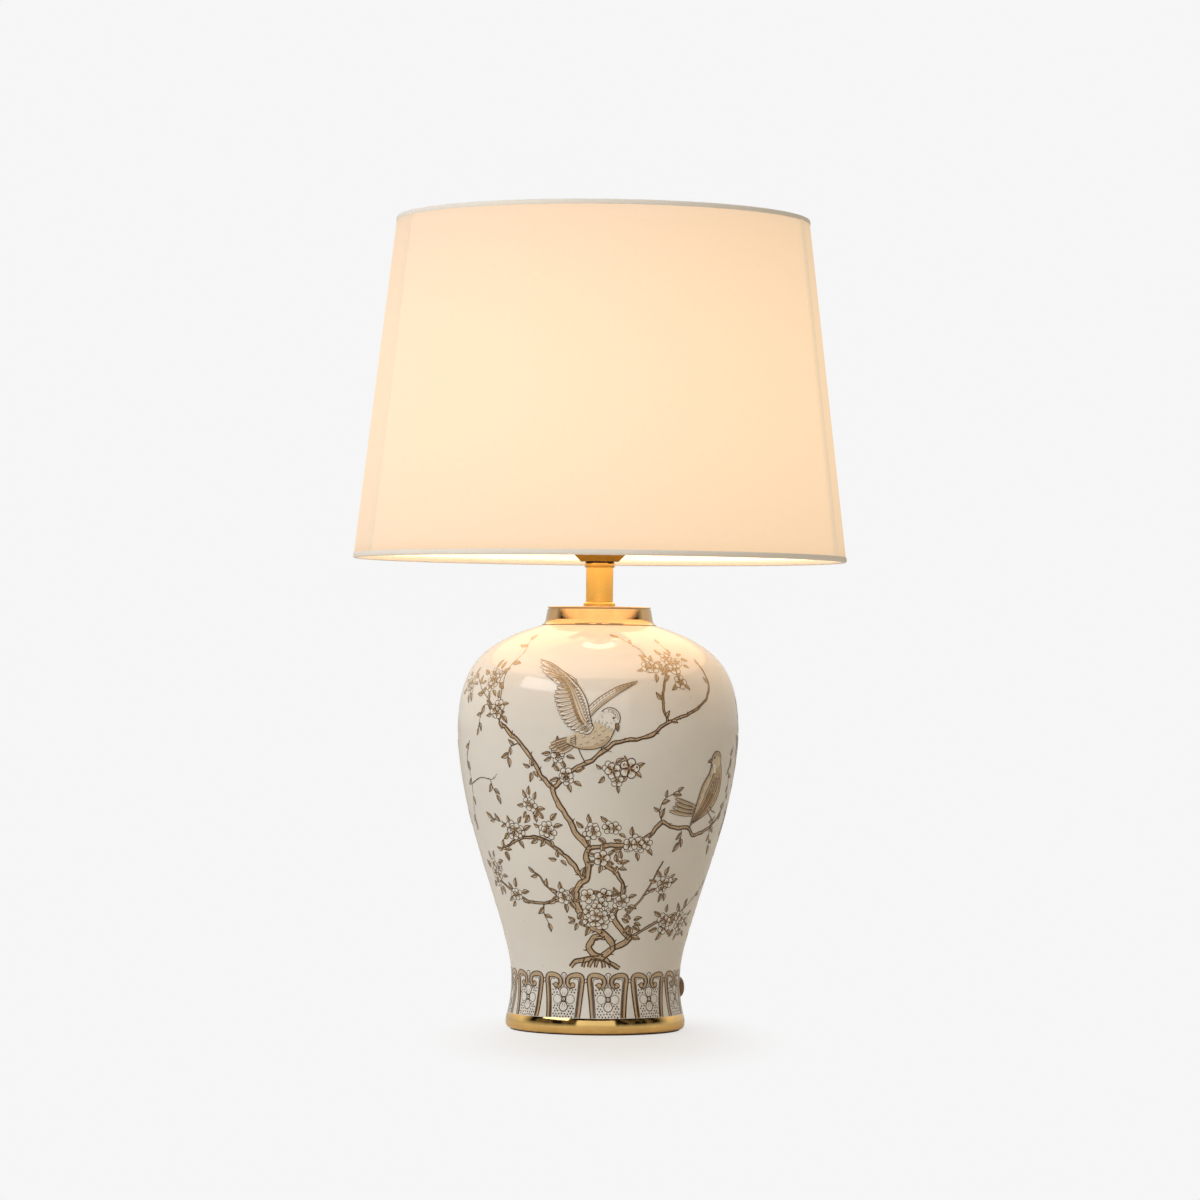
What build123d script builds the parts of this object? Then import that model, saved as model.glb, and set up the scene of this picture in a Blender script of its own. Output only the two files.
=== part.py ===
from build123d import *
import os
from math import acos, cos, degrees, radians, sin, tan

os.makedirs("parts", exist_ok=True)

# A ceramic table lamp. A printed jar stands on a brass base and carries a brass cap and neck, a bulb
# socket with a turn switch, a harp, and a tapered fabric shade that hangs from the stud on the harp.
# Millimetres, +Z up. The origin is on the table under the axis of the lamp, and -Y is the front.

# Clearances
turned_gap = 0.1        # between turned pieces that locate each other, on the radius
pipe_gap = 0.15         # between the lamp pipe and the holes it runs through, on the radius
slip_gap = 0.3          # between pieces that move past each other
glue_gap = 0.05         # between a wire and what is fixed on it
laminate_gap = 0.3      # between the shade's two sheets

# Felt and base
felt_thickness = 0.8
felt_inset = 0.5        # felt edge inside the foot of the base
base_height = 11.2
base_bulge = 1.3            # widest part of the base outside the jar's foot
base_foot_inset = 3.0       # foot of the base inside its widest part
base_bulge_height = 4.6     # widest point above the foot
base_rim_width = 2.0        # width of the rim the felt is glued to
base_deck = 2.2
boss_height = 1.0

# Jar
jar_foot_flare = 2.7    # foot of the jar outside its waist
jar_foot_width = 9.0
jar_foot_recess = 1.4
jar_floor = 5.0
jar_wall = 5.0
waist_radius = 60.4
waist_height = 24.0
belly_radius = 100.9
belly_height = 204.2
ledge_radius = 41.7
ledge_height = 277.7
ledge_slope = 0.30      # steepness of the shoulder where it meets the cap
jar_neck_height = 8.0
waist_pull = 38.0       # lengths of the curve handles along the side of the jar
belly_pull = 67.0
shoulder_pull = 45.0
ledge_pull = 40.3

# Cord outlet
gland_angle = 111.0     # from the front towards +X
gland_height = 17.0     # above the jar's foot
gland_bore = 3.3
gland_barrel = 5.0
gland_flange = 7.8
gland_flange_height = 5.3
gland_standoff = 1.1    # keeps the flat flange clear of the curved wall
gland_reach = 6.0       # barrel inside the wall
gland_nut_height = 3.0
gland_nut_radius = 7.6

# Cap and neck
cap_height = 13.5
cap_wall = 1.2
cap_foot_flare = 3.2        # side of the cap inside the edge of the ledge
cap_draft = 1.3             # top of the cap inside its side
cap_play = 1.2              # between the cap's wall and the jar's neck
cap_edge = 0.7
cap_bead = 1.0              # height of the bead round the top
cap_groove = 0.6            # depth of the groove under the bead
cap_groove_height = 0.8
cap_skirt_height = 4.4
cap_skirt_inset = 0.4       # skirt edge inside the edge of the ledge
neck_radius = 9.8
neck_wall = 1.0
neck_length = 25.1
lower_collar_radius = 11.4
lower_collar_height = 3.2
upper_collar_radius = 11.0
upper_collar_height = 3.5
collar_spigot = 3.0
washer_radius = 10.2
washer_thickness = 0.9

# Pipe and the nut under the base
pipe_radius = 4.85
pipe_bore = 3.6
pipe_into_socket = 8.0
pipe_end_below_nut = 0.5
pipe_slot_width = 4.4
pipe_slot_length = 16.0
pipe_slot_above_floor = 30.0
base_washer_radius = 15.0
base_washer_thickness = 1.2
base_nut_flats = 16.0
base_nut_height = 4.5

# Harp saddle
saddle_thickness = 2.0
saddle_lip = 1.2            # thickness of the turned-up edges at the front and back
saddle_lip_height = 4.5     # over the underside
saddle_lip_run = 9.0        # how far the edges run out over the arms
saddle_half_flat = 13.5
saddle_arm_angle = 45.0
saddle_half_span = 29.5     # outer face of the posts
post_width = 6.0
post_height = 14.0
ear_thickness = 1.8

# Socket
socket_hub_radius = 8.2
socket_hub_height = 2.6
socket_boss_radius = 6.6
socket_boss_height = 9.0
socket_rim_radius = 17.4
socket_ledge_height = 12.0
socket_rim_height = 19.0
socket_wall = 0.7
shell_wall = 0.5
shell_height = 50.0
sleeve_wall = 0.5
interior_height = 26.0
switch_height = 27.0        # shaft above the saddle
shell_slot_radius = 3.4
screw_shell_radius = 13.4   # inside
screw_shell_wall = 0.5
screw_shell_height = 22.0
contact_radius = 3.6
contact_height = 2.2
terminal_head_radius = 2.8
terminal_head = 1.6
terminal_height = 19.0      # above the saddle
terminal_seat = 11.6        # flat that the screw head sits on, from the axis
shaft_radius = 1.6
shaft_reach = 26.0          # end of the shaft from the axis
shaft_depth = 8.0           # inner end of the shaft from the axis
knob_start = 18.6
knob_length = 14.0
knob_radius = 6.2
knob_tip_radius = 5.2
knob_flutes = 12
knob_flute_radius = 0.9

# Bulb
bulb_lift = 0.3             # above the centre contact
button_radius = 4.2
button_height = 1.4
insulator_height = 4.2
insulator_low_radius = 5.2
bulb_cap_radius = 12.9
bulb_cap_wall = 0.8
bulb_cap_height = 21.0
glass_radius = 30.0
glass_rise = 44.0           # from the cap's edge to the widest point
glass_wall = 1.0

# Harp
harp_height = 216.0         # from the saddle to the seat of the shade
harp_half_width = 55.0
harp_wire_radius = 1.8
harp_leg = 30.0
harp_bend = 40.0
harp_top_flat = 8.0
stud_block_radius = 6.0
stud_block_height = 8.0
stud_radius = 3.05
stud_length = 16.0
ferrule_height = 12.0
ferrule_wall = 0.8
ferrule_lift = 14.0

# Shade
shade_height = 246.0
spider_drop = 28.6          # from the shade's top edge down to the seat on the harp
shade_top_radius = 149.2    # over the top trim
shade_bottom_radius = 177.6 # over the bottom trim
trim_radius = 2.1
trim_wall = 0.7
ring_wire_radius = 1.25
fabric_thickness = 0.6
lining_thickness = 0.5
seam_angle_left = 66.0      # from the front
seam_angle_right = 70.0
seam_gap = 0.3
hub_radius = 11.0
hub_thickness = 2.0
arm_rise = 20.0             # how far inside the ring the arms bend upwards
arm_bend = 8.0

# Finial
finial_foot_radius = 6.4
finial_foot_height = 4.0
finial_neck_radius = 4.4
finial_ball_radius = 6.6
finial_height = 22.0

# Heights of the stack, from the table up
z_base = felt_thickness
z_jar = z_base + base_height
z_floor = z_jar + jar_foot_recess + jar_floor
z_waist = z_jar + waist_height
z_belly = z_jar + belly_height
z_ledge = z_jar + ledge_height
z_cap = z_ledge + cap_height
z_neck = z_cap + lower_collar_height
z_collar = z_neck + neck_length
z_washer = z_collar + upper_collar_height
z_saddle = z_washer + washer_thickness
z_socket = z_saddle + saddle_thickness
z_seat = z_socket + harp_height
z_hub = z_seat + hub_thickness
z_shade_top = z_seat + spider_drop
z_shade_bottom = z_shade_top - shade_height
pipe_hole = pipe_radius + pipe_gap

# Radii that follow from the waist and the ledge of the jar
jar_foot_radius = waist_radius + jar_foot_flare
base_bulge_radius = jar_foot_radius + base_bulge
base_foot_radius = base_bulge_radius - base_foot_inset
cap_side_radius = ledge_radius - cap_foot_flare
cap_top_radius = cap_side_radius - cap_draft
jar_neck_radius = cap_top_radius - cap_wall - cap_play


def side_of_jar(inset):
    """Draw the jar's side from the waist to the ledge, moved into the wall by inset."""
    waist_r = waist_radius - inset
    belly_r = belly_radius - inset
    edge_r = ledge_radius - inset
    edge_z = z_ledge - inset
    Bezier(
        (waist_r, z_waist),
        (waist_r, z_waist + waist_pull),
        (belly_r, z_belly - belly_pull),
        (belly_r, z_belly),
    )
    Bezier(
        (belly_r, z_belly),
        (belly_r, z_belly + shoulder_pull),
        (edge_r + ledge_pull, edge_z - ledge_pull * ledge_slope),
        (edge_r, edge_z),
    )


# Base

with BuildPart() as base_felt:
    Cylinder(base_foot_radius - felt_inset, felt_thickness, align=(Align.CENTER, Align.CENTER, Align.MIN))

boss_radius = jar_foot_radius - jar_foot_width - slip_gap
rim_inside = base_foot_radius - base_rim_width
with BuildPart() as base_plinth:
    with BuildSketch(Plane.XZ):
        with BuildLine():
            Bezier(
                (base_foot_radius, z_base),
                (base_bulge_radius - 0.4, z_base + base_bulge_height * 0.1),
                (base_bulge_radius, z_base + base_bulge_height * 0.5),
                (base_bulge_radius, z_base + base_bulge_height),
            )
            Bezier(
                (base_bulge_radius, z_base + base_bulge_height),
                (base_bulge_radius, z_jar - (base_height - base_bulge_height) * 0.5),
                (jar_foot_radius + 0.4, z_jar - 1),
                (jar_foot_radius, z_jar),
            )
            Polyline(
                (jar_foot_radius, z_jar),
                (boss_radius, z_jar),
                (boss_radius, z_jar + boss_height),
                (pipe_hole, z_jar + boss_height),
                (pipe_hole, z_jar - base_deck),
                (rim_inside, z_jar - base_deck),
                (rim_inside, z_base),
                (base_foot_radius, z_base),
            )
        make_face()
    revolve(axis=Axis.Z)

z_base_washer = z_jar - base_deck - base_washer_thickness
z_base_nut = z_base_washer - base_nut_height
with BuildPart() as base_washer:
    with BuildSketch(Plane.XY.offset(z_base_washer)):
        Circle(base_washer_radius)
        Circle(pipe_hole, mode=Mode.SUBTRACT)
    extrude(amount=base_washer_thickness)

with BuildPart() as base_nut:
    with BuildSketch(Plane.XY.offset(z_base_nut)):
        RegularPolygon(base_nut_flats / 2, 6, major_radius=False)
        Circle(pipe_radius + turned_gap, mode=Mode.SUBTRACT)
    extrude(amount=base_nut_height)
    chamfer(base_nut.faces().sort_by(Axis.Z)[0].outer_wire().edges(), length=0.6)

# Jar

gland_radians = radians(gland_angle)
gland_out = (sin(gland_radians), -cos(gland_radians), 0)
gland_seat = waist_radius + gland_standoff
gland_plane = Plane(
    origin=(gland_seat * gland_out[0], gland_seat * gland_out[1], z_jar + gland_height),
    x_dir=(0, 0, 1),
    z_dir=gland_out,
)

with BuildPart() as ceramic_jar:
    with BuildSketch(Plane.XZ):
        with BuildLine():
            Bezier(
                (jar_foot_radius, z_jar),
                (jar_foot_radius - 1.6, z_jar + waist_height * 0.25),
                (waist_radius, z_jar + waist_height * 0.6),
                (waist_radius, z_waist),
            )
            side_of_jar(0)
            Polyline(
                (ledge_radius, z_ledge),
                (jar_neck_radius, z_ledge),
                (jar_neck_radius, z_ledge + jar_neck_height),
                (jar_neck_radius - jar_wall, z_ledge + jar_neck_height),
                (jar_neck_radius - jar_wall, z_ledge - jar_wall),
                (ledge_radius - jar_wall, z_ledge - jar_wall),
            )
            side_of_jar(jar_wall)
            Polyline(
                (waist_radius - jar_wall, z_waist),
                (waist_radius - jar_wall, z_floor),
                (pipe_hole + slip_gap, z_floor),
                (pipe_hole + slip_gap, z_jar + jar_foot_recess),
                (jar_foot_radius - jar_foot_width, z_jar + jar_foot_recess),
                (jar_foot_radius - jar_foot_width, z_jar),
                (jar_foot_radius, z_jar),
            )
        make_face()
    revolve(axis=Axis.Z)
    with BuildSketch(gland_plane):
        Circle(gland_barrel + slip_gap)
    extrude(amount=-(gland_standoff + jar_wall * 2), mode=Mode.SUBTRACT)

with BuildPart() as cord_gland:
    with BuildSketch(gland_plane):
        Circle(gland_flange)
    extrude(amount=gland_flange_height)
    fillet(cord_gland.faces().sort_by(Axis(gland_plane.origin, gland_plane.z_dir))[-1].edges(), radius=3.0)
    with BuildSketch(gland_plane):
        Circle(gland_barrel)
    extrude(amount=-(gland_standoff + jar_wall + gland_reach))
    with BuildSketch(gland_plane.offset(gland_flange_height)):
        Circle(gland_bore)
    extrude(
        amount=-(gland_flange_height + gland_standoff + jar_wall + gland_reach),
        mode=Mode.SUBTRACT,
    )

# The nut is flat and the wall is hollow, so the nut stands in by the depth of the wall's curve
inner_wall = waist_radius - jar_wall
nut_sag = inner_wall - (inner_wall ** 2 - gland_nut_radius ** 2) ** 0.5
nut_plane = gland_plane.offset(-(gland_standoff + jar_wall + nut_sag + turned_gap))
with BuildPart() as cord_gland_nut:
    with BuildSketch(nut_plane):
        RegularPolygon(gland_nut_radius, 6)
        Circle(gland_barrel + turned_gap, mode=Mode.SUBTRACT)
    extrude(amount=-gland_nut_height)

# Cap and neck

skirt_radius = ledge_radius - cap_skirt_inset
z_skirt = z_ledge + cap_skirt_height
with BuildPart() as vase_cap:
    with BuildSketch(Plane.XZ):
        with BuildLine():
            Polyline(
                (pipe_hole, z_cap - cap_wall),
                (pipe_hole, z_cap),
                (cap_top_radius - cap_edge, z_cap),
            )
            Bezier(
                (cap_top_radius - cap_edge, z_cap),
                (cap_top_radius, z_cap),
                (cap_top_radius, z_cap - cap_edge),
            )
            Polyline(
                (cap_top_radius, z_cap - cap_edge),
                (cap_top_radius, z_cap - cap_bead),
                (cap_top_radius - cap_groove, z_cap - cap_bead),
                (cap_top_radius - cap_groove, z_cap - cap_bead - cap_groove_height),
                (cap_top_radius, z_cap - cap_bead - cap_groove_height),
                (cap_side_radius, z_skirt),
            )
            Bezier(
                (cap_side_radius, z_skirt),
                (cap_side_radius + 0.6, z_ledge + cap_wall),
                (skirt_radius, z_ledge + cap_wall * 0.5),
            )
            Polyline(
                (skirt_radius, z_ledge + cap_wall * 0.5),
                (skirt_radius, z_ledge),
                (cap_side_radius - cap_wall + 0.6, z_ledge),
                (cap_side_radius - cap_wall, z_skirt),
                (cap_top_radius - cap_wall, z_cap - cap_wall),
                (pipe_hole, z_cap - cap_wall),
            )
        make_face()
    revolve(axis=Axis.Z)

spigot_radius = neck_radius - neck_wall - turned_gap
with BuildPart() as neck_collar_lower:
    with BuildSketch(Plane.XY.offset(z_cap)):
        Circle(lower_collar_radius)
    extrude(amount=lower_collar_height)
    fillet(neck_collar_lower.edges().group_by(Axis.Z)[-1], radius=0.9)
    with BuildSketch(Plane.XY.offset(z_neck)):
        Circle(spigot_radius)
    extrude(amount=collar_spigot)
    with BuildSketch(Plane.XY.offset(z_cap)):
        Circle(pipe_hole)
    extrude(amount=lower_collar_height + collar_spigot, mode=Mode.SUBTRACT)

with BuildPart() as neck_tube:
    with BuildSketch(Plane.XY.offset(z_neck)):
        Circle(neck_radius)
        Circle(neck_radius - neck_wall, mode=Mode.SUBTRACT)
    extrude(amount=neck_length)

with BuildPart() as neck_collar_upper:
    with BuildSketch(Plane.XY.offset(z_collar)):
        Circle(upper_collar_radius)
    extrude(amount=upper_collar_height)
    fillet(neck_collar_upper.edges(), radius=1.1)
    with BuildSketch(Plane.XY.offset(z_collar)):
        Circle(spigot_radius)
    extrude(amount=-collar_spigot)
    with BuildSketch(Plane.XY.offset(z_washer)):
        Circle(pipe_hole)
    extrude(amount=-(upper_collar_height + collar_spigot), mode=Mode.SUBTRACT)

with BuildPart() as saddle_washer:
    with BuildSketch(Plane.XY.offset(z_washer)):
        Circle(washer_radius)
        Circle(pipe_hole, mode=Mode.SUBTRACT)
    extrude(amount=washer_thickness)

# Pipe

z_pipe = z_base_nut - pipe_end_below_nut
slot_plane = Plane(origin=(0, 0, z_floor + pipe_slot_above_floor), x_dir=(0, 0, 1), z_dir=gland_out)
with BuildPart() as lamp_pipe:
    with BuildSketch(Plane.XY.offset(z_pipe)):
        Circle(pipe_radius)
        Circle(pipe_bore, mode=Mode.SUBTRACT)
    extrude(amount=z_socket + pipe_into_socket - z_pipe)
    with BuildSketch(slot_plane):
        SlotOverall(pipe_slot_length, pipe_slot_width)
    extrude(amount=pipe_radius * 2, mode=Mode.SUBTRACT)

# Harp saddle: a flat with turned-up edges, two sloping arms, and a post and an ear at the end of each arm

saddle_half_width = socket_hub_radius + slip_gap + saddle_lip
arm_run = saddle_half_span - saddle_half_flat
arm_rise_saddle = arm_run * tan(radians(saddle_arm_angle))
bend_shift = saddle_thickness * tan(radians(saddle_arm_angle / 2))
lip_shift = saddle_lip_height * tan(radians(saddle_arm_angle / 2))
lip_rise = saddle_lip_run * tan(radians(saddle_arm_angle))
post_inside = saddle_half_span - saddle_thickness
z_arm = z_saddle + arm_rise_saddle
inner_run = post_inside - (saddle_half_flat - bend_shift)
z_arm_inside = z_socket + inner_run * tan(radians(saddle_arm_angle))
z_ear = z_arm_inside + ear_thickness * 0.4
leg_x = saddle_half_span + slip_gap + harp_wire_radius
ferrule_inside = post_inside - slip_gap
ferrule_outside = leg_x + harp_wire_radius + slip_gap
ear_end = ferrule_outside + ferrule_wall

with BuildPart() as harp_saddle:
    with BuildSketch(Plane.XZ):
        with BuildLine():
            Polyline(
                (0, z_saddle),
                (saddle_half_flat, z_saddle),
                (saddle_half_span, z_arm),
                (saddle_half_span, z_arm_inside),
                (post_inside, z_arm_inside),
                (saddle_half_flat - bend_shift, z_socket),
                (0, z_socket),
                close=True,
            )
        make_face()
        mirror(about=Plane.YZ)
    extrude(amount=saddle_half_width, both=True)
    for side in (1, -1):
        with BuildSketch(Plane.XZ.offset(side * saddle_half_width)):
            with BuildLine():
                Polyline(
                    (0, z_saddle),
                    (saddle_half_flat, z_saddle),
                    (saddle_half_flat + saddle_lip_run, z_saddle + lip_rise),
                    (saddle_half_flat - lip_shift, z_saddle + saddle_lip_height),
                    (0, z_saddle + saddle_lip_height),
                    close=True,
                )
            make_face()
            mirror(about=Plane.YZ)
        extrude(amount=-side * saddle_lip)
    with BuildSketch(Plane.XZ):
        with BuildLine():
            Polyline(
                (post_inside, z_arm_inside - saddle_thickness),
                (saddle_half_span, z_arm_inside - saddle_thickness),
                (saddle_half_span, z_ear - ear_thickness),
                (ear_end, z_ear - ear_thickness),
                (ear_end, z_ear),
                (saddle_half_span, z_ear),
                (saddle_half_span, z_ear + post_height),
                (post_inside, z_ear + post_height),
                close=True,
            )
        make_face()
        mirror(about=Plane.YZ)
    extrude(amount=post_width / 2, both=True)
    with BuildSketch(Plane.XY.offset(z_saddle)):
        Circle(pipe_hole)
    extrude(amount=saddle_thickness, mode=Mode.SUBTRACT)

# Socket

shell_radius = socket_rim_radius - socket_wall - turned_gap
sleeve_radius = shell_radius - shell_wall - turned_gap
interior_radius = sleeve_radius - sleeve_wall - turned_gap
z_ledge_socket = z_socket + socket_ledge_height
z_interior_top = z_ledge_socket + interior_height
z_switch = z_socket + switch_height
socket_ledge_inside = interior_radius - 1.6
with BuildPart() as socket_cap:
    with BuildSketch(Plane.XZ):
        with BuildLine():
            Polyline(
                (pipe_hole, z_socket),
                (socket_hub_radius, z_socket),
                (socket_hub_radius, z_socket + socket_hub_height),
            )
            Bezier(
                (socket_hub_radius, z_socket + socket_hub_height),
                (socket_hub_radius + 1.5, z_socket + socket_ledge_height * 0.6),
                (socket_rim_radius, z_socket + socket_ledge_height * 0.5),
                (socket_rim_radius, z_ledge_socket),
            )
            Polyline(
                (socket_rim_radius, z_ledge_socket),
                (socket_rim_radius, z_socket + socket_rim_height),
                (socket_rim_radius - socket_wall, z_socket + socket_rim_height),
                (socket_rim_radius - socket_wall, z_ledge_socket),
                (socket_ledge_inside, z_ledge_socket),
                (socket_hub_radius - socket_wall, z_socket + socket_hub_height + socket_wall),
                (socket_boss_radius, z_socket + socket_hub_height + socket_wall),
                (socket_boss_radius, z_socket + socket_boss_height),
                (pipe_hole, z_socket + socket_boss_height),
                (pipe_hole, z_socket),
            )
        make_face()
    revolve(axis=Axis.Z)

switch_plane = Plane(origin=(0, 0, z_switch), x_dir=(1, 0, 0), z_dir=(0, -1, 0))
with BuildPart() as socket_shell:
    with BuildSketch(Plane.XY.offset(z_ledge_socket)):
        Circle(shell_radius)
        Circle(shell_radius - shell_wall, mode=Mode.SUBTRACT)
    extrude(amount=shell_height)
    with BuildSketch(switch_plane):
        Circle(shell_slot_radius)
    extrude(amount=socket_rim_radius * 2, mode=Mode.SUBTRACT)

with BuildPart() as socket_sleeve:
    with BuildSketch(Plane.XY.offset(z_ledge_socket)):
        Circle(sleeve_radius)
        Circle(sleeve_radius - sleeve_wall, mode=Mode.SUBTRACT)
    extrude(amount=shell_height - 1)
    with BuildSketch(switch_plane):
        Circle(shell_slot_radius)
    extrude(amount=socket_rim_radius * 2, mode=Mode.SUBTRACT)

terminal_plane = Plane(origin=(0, 0, z_socket + terminal_height), x_dir=(0, 1, 0), z_dir=(1, 0, 0))
with BuildPart() as socket_interior:
    with BuildSketch(Plane.XY.offset(z_ledge_socket)):
        Circle(interior_radius)
    extrude(amount=interior_height)
    with BuildSketch(switch_plane):
        Circle(shaft_radius + turned_gap)
    extrude(amount=interior_radius * 2, mode=Mode.SUBTRACT)
    for side in (1, -1):
        with BuildSketch(terminal_plane.offset(side * terminal_seat)):
            Rectangle(terminal_head_radius * 3, terminal_head_radius * 3)
        extrude(amount=side * interior_radius, mode=Mode.SUBTRACT)

with BuildPart() as terminal_screws:
    for side in (1, -1):
        with BuildSketch(terminal_plane.offset(side * terminal_seat)):
            Circle(terminal_head_radius)
        extrude(amount=side * terminal_head)
        with BuildSketch(terminal_plane.offset(side * (terminal_seat + terminal_head))):
            Rectangle(terminal_head_radius * 3, 0.6)
        extrude(amount=side * -terminal_head * 0.5, mode=Mode.SUBTRACT)

screw_outside = screw_shell_radius + screw_shell_wall
with BuildPart() as screw_shell:
    with BuildSketch(Plane.XY.offset(z_interior_top)):
        Circle(screw_outside)
    extrude(amount=screw_shell_height)
    with BuildSketch(Plane.XY.offset(z_interior_top + screw_shell_wall)):
        Circle(screw_shell_radius)
    extrude(amount=screw_shell_height, mode=Mode.SUBTRACT)
    with BuildSketch(Plane.XY.offset(z_interior_top)):
        Circle(contact_radius + 1.5)
    extrude(amount=screw_shell_wall, mode=Mode.SUBTRACT)

z_contact = z_interior_top + contact_height
with BuildPart() as centre_contact:
    with BuildSketch(Plane.XY.offset(z_interior_top)):
        Circle(contact_radius)
    extrude(amount=contact_height)
    fillet(centre_contact.edges().group_by(Axis.Z)[-1], radius=contact_height * 0.6)

# Switch

with BuildPart() as switch_shaft:
    with BuildSketch(switch_plane.offset(shaft_depth)):
        Circle(shaft_radius)
    extrude(amount=shaft_reach - shaft_depth)

with BuildPart() as switch_knob:
    with BuildSketch(switch_plane.offset(knob_start)):
        Circle(knob_radius)
    with BuildSketch(switch_plane.offset(knob_start + knob_length)):
        Circle(knob_tip_radius)
    loft()
    fillet(switch_knob.faces().sort_by(Axis.Y)[0].edges(), radius=1.2)
    with BuildSketch(switch_plane.offset(knob_start)):
        with PolarLocations(knob_radius + knob_flute_radius * 0.2, knob_flutes):
            Circle(knob_flute_radius)
    extrude(amount=knob_length - 2, mode=Mode.SUBTRACT)
    with BuildSketch(switch_plane.offset(knob_start)):
        Circle(shaft_radius)
    extrude(amount=shaft_reach - knob_start, mode=Mode.SUBTRACT)

# Bulb

z_button = z_contact + bulb_lift
z_insulator = z_button + button_height
z_bulb_cap = z_insulator + insulator_height
z_bulb_edge = z_bulb_cap + bulb_cap_height
z_widest = z_bulb_edge + glass_rise
cap_bore = bulb_cap_radius - bulb_cap_wall
glass_neck = cap_bore - turned_gap
with BuildPart() as bulb_contact:
    with BuildSketch(Plane.XY.offset(z_button)):
        Circle(button_radius)
    extrude(amount=button_height)
    fillet(bulb_contact.edges().group_by(Axis.Z)[0], radius=button_height * 0.6)

with BuildPart() as bulb_insulator:
    with BuildSketch(Plane.XY.offset(z_insulator)):
        Circle(insulator_low_radius)
    with BuildSketch(Plane.XY.offset(z_bulb_cap)):
        Circle(cap_bore)
    loft()

with BuildPart() as bulb_cap:
    with BuildSketch(Plane.XY.offset(z_bulb_cap)):
        Circle(bulb_cap_radius)
    extrude(amount=bulb_cap_height)
    chamfer(bulb_cap.edges().group_by(Axis.Z)[0], length=bulb_cap_wall)
    with BuildSketch(Plane.XY.offset(z_bulb_cap + bulb_cap_wall)):
        Circle(cap_bore)
    extrude(amount=bulb_cap_height, mode=Mode.SUBTRACT)


def bulb_outline(inset):
    """Draw the glass from the neck to the crown, moved into the wall by inset."""
    neck_r = glass_neck - inset
    wide_r = glass_radius - inset
    Line((neck_r, z_bulb_cap + bulb_cap_height * 0.4), (neck_r, z_bulb_edge))
    Bezier(
        (neck_r, z_bulb_edge),
        (neck_r, z_bulb_edge + glass_rise * 0.45),
        (wide_r, z_widest - glass_rise * 0.5),
        (wide_r, z_widest),
    )
    JernArc((wide_r, z_widest), (0, 1), wide_r, 90)


with BuildPart() as bulb_glass:
    with BuildSketch(Plane.XZ):
        with BuildLine():
            bulb_outline(0)
            bulb_outline(glass_wall)
            z_mouth = z_bulb_cap + bulb_cap_height * 0.4
            Line((glass_neck, z_mouth), (glass_neck - glass_wall, z_mouth))
            Line((0, z_widest + glass_radius), (0, z_widest + glass_radius - glass_wall))
        make_face()
    revolve(axis=Axis.Z)

# Harp

z_wire = z_seat - stud_block_height / 2
bow = harp_half_width - leg_x
bow_angle = acos(1 - bow / (2 * harp_bend))
z_bow = z_ear + harp_leg
bow_rise = harp_bend * sin(bow_angle)
top_bend = harp_half_width - harp_top_flat
with BuildPart() as harp_wire:
    with BuildLine(Plane.XZ) as harp_path:
        Line((leg_x, z_ear), (leg_x, z_bow))
        TangentArc((leg_x, z_bow), (leg_x + bow / 2, z_bow + bow_rise), tangent=(0, 1))
        TangentArc(
            (leg_x + bow / 2, z_bow + bow_rise),
            (harp_half_width, z_bow + 2 * bow_rise),
            tangent=(sin(bow_angle), cos(bow_angle)),
        )
        Line((harp_half_width, z_bow + 2 * bow_rise), (harp_half_width, z_wire - top_bend))
        TangentArc((harp_half_width, z_wire - top_bend), (harp_top_flat, z_wire), tangent=(0, 1))
        Line((harp_top_flat, z_wire), (0, z_wire))
        mirror(about=Plane.YZ)
    with BuildSketch(Plane(origin=(leg_x, 0, z_ear))):
        Circle(harp_wire_radius)
    sweep(path=harp_path.wire())

with BuildPart() as harp_stud:
    with BuildSketch(Plane.XY.offset(z_seat)):
        Circle(stud_block_radius)
    extrude(amount=-stud_block_height)
    with BuildSketch(Plane.XY.offset(z_seat)):
        Circle(stud_radius)
    extrude(amount=stud_length)
    chamfer(harp_stud.edges().group_by(Axis.Z)[-1], length=0.6)
    with BuildSketch(Plane(origin=(0, 0, z_wire), x_dir=(0, 1, 0), z_dir=(1, 0, 0))):
        Circle(harp_wire_radius + glue_gap)
    extrude(amount=stud_block_radius * 2, both=True, mode=Mode.SUBTRACT)


def ferrule(side):
    """Return a sleeve round the post and the harp's leg, on the right (1) or the left (-1)."""
    width = ferrule_outside - ferrule_inside
    depth = post_width + 2 * slip_gap
    middle = side * (ferrule_inside + ferrule_outside) / 2
    with BuildPart(mode=Mode.PRIVATE) as sleeve:
        with BuildSketch(Plane.XY.offset(z_ear)):
            with Locations((middle, 0)):
                RectangleRounded(width + 2 * ferrule_wall, depth + 2 * ferrule_wall, 1.6)
                Rectangle(width, depth, mode=Mode.SUBTRACT)
        extrude(amount=ferrule_height)
    return sleeve.part


with BuildPart() as harp_ferrule_right:
    add(ferrule(1))

with BuildPart() as harp_ferrule_left:
    add(ferrule(-1))

# Shade: the trims roll round the two wire rings, and the sheets run from one trim to the other

top_ring = shade_top_radius - trim_radius
bottom_ring = shade_bottom_radius - trim_radius
z_top_ring = z_shade_top - trim_radius
z_bottom_ring = z_shade_bottom + trim_radius
z_sheet_low = z_bottom_ring + trim_radius + glue_gap
z_sheet_high = z_top_ring - trim_radius - glue_gap
taper = (bottom_ring - top_ring) / (z_top_ring - z_bottom_ring)


def sheet_radius(z):
    """Return the outer radius of the fabric at a height, just inside the trims' outer edge."""
    return bottom_ring + trim_radius * 0.75 - (z - z_bottom_ring) * taper


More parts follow.
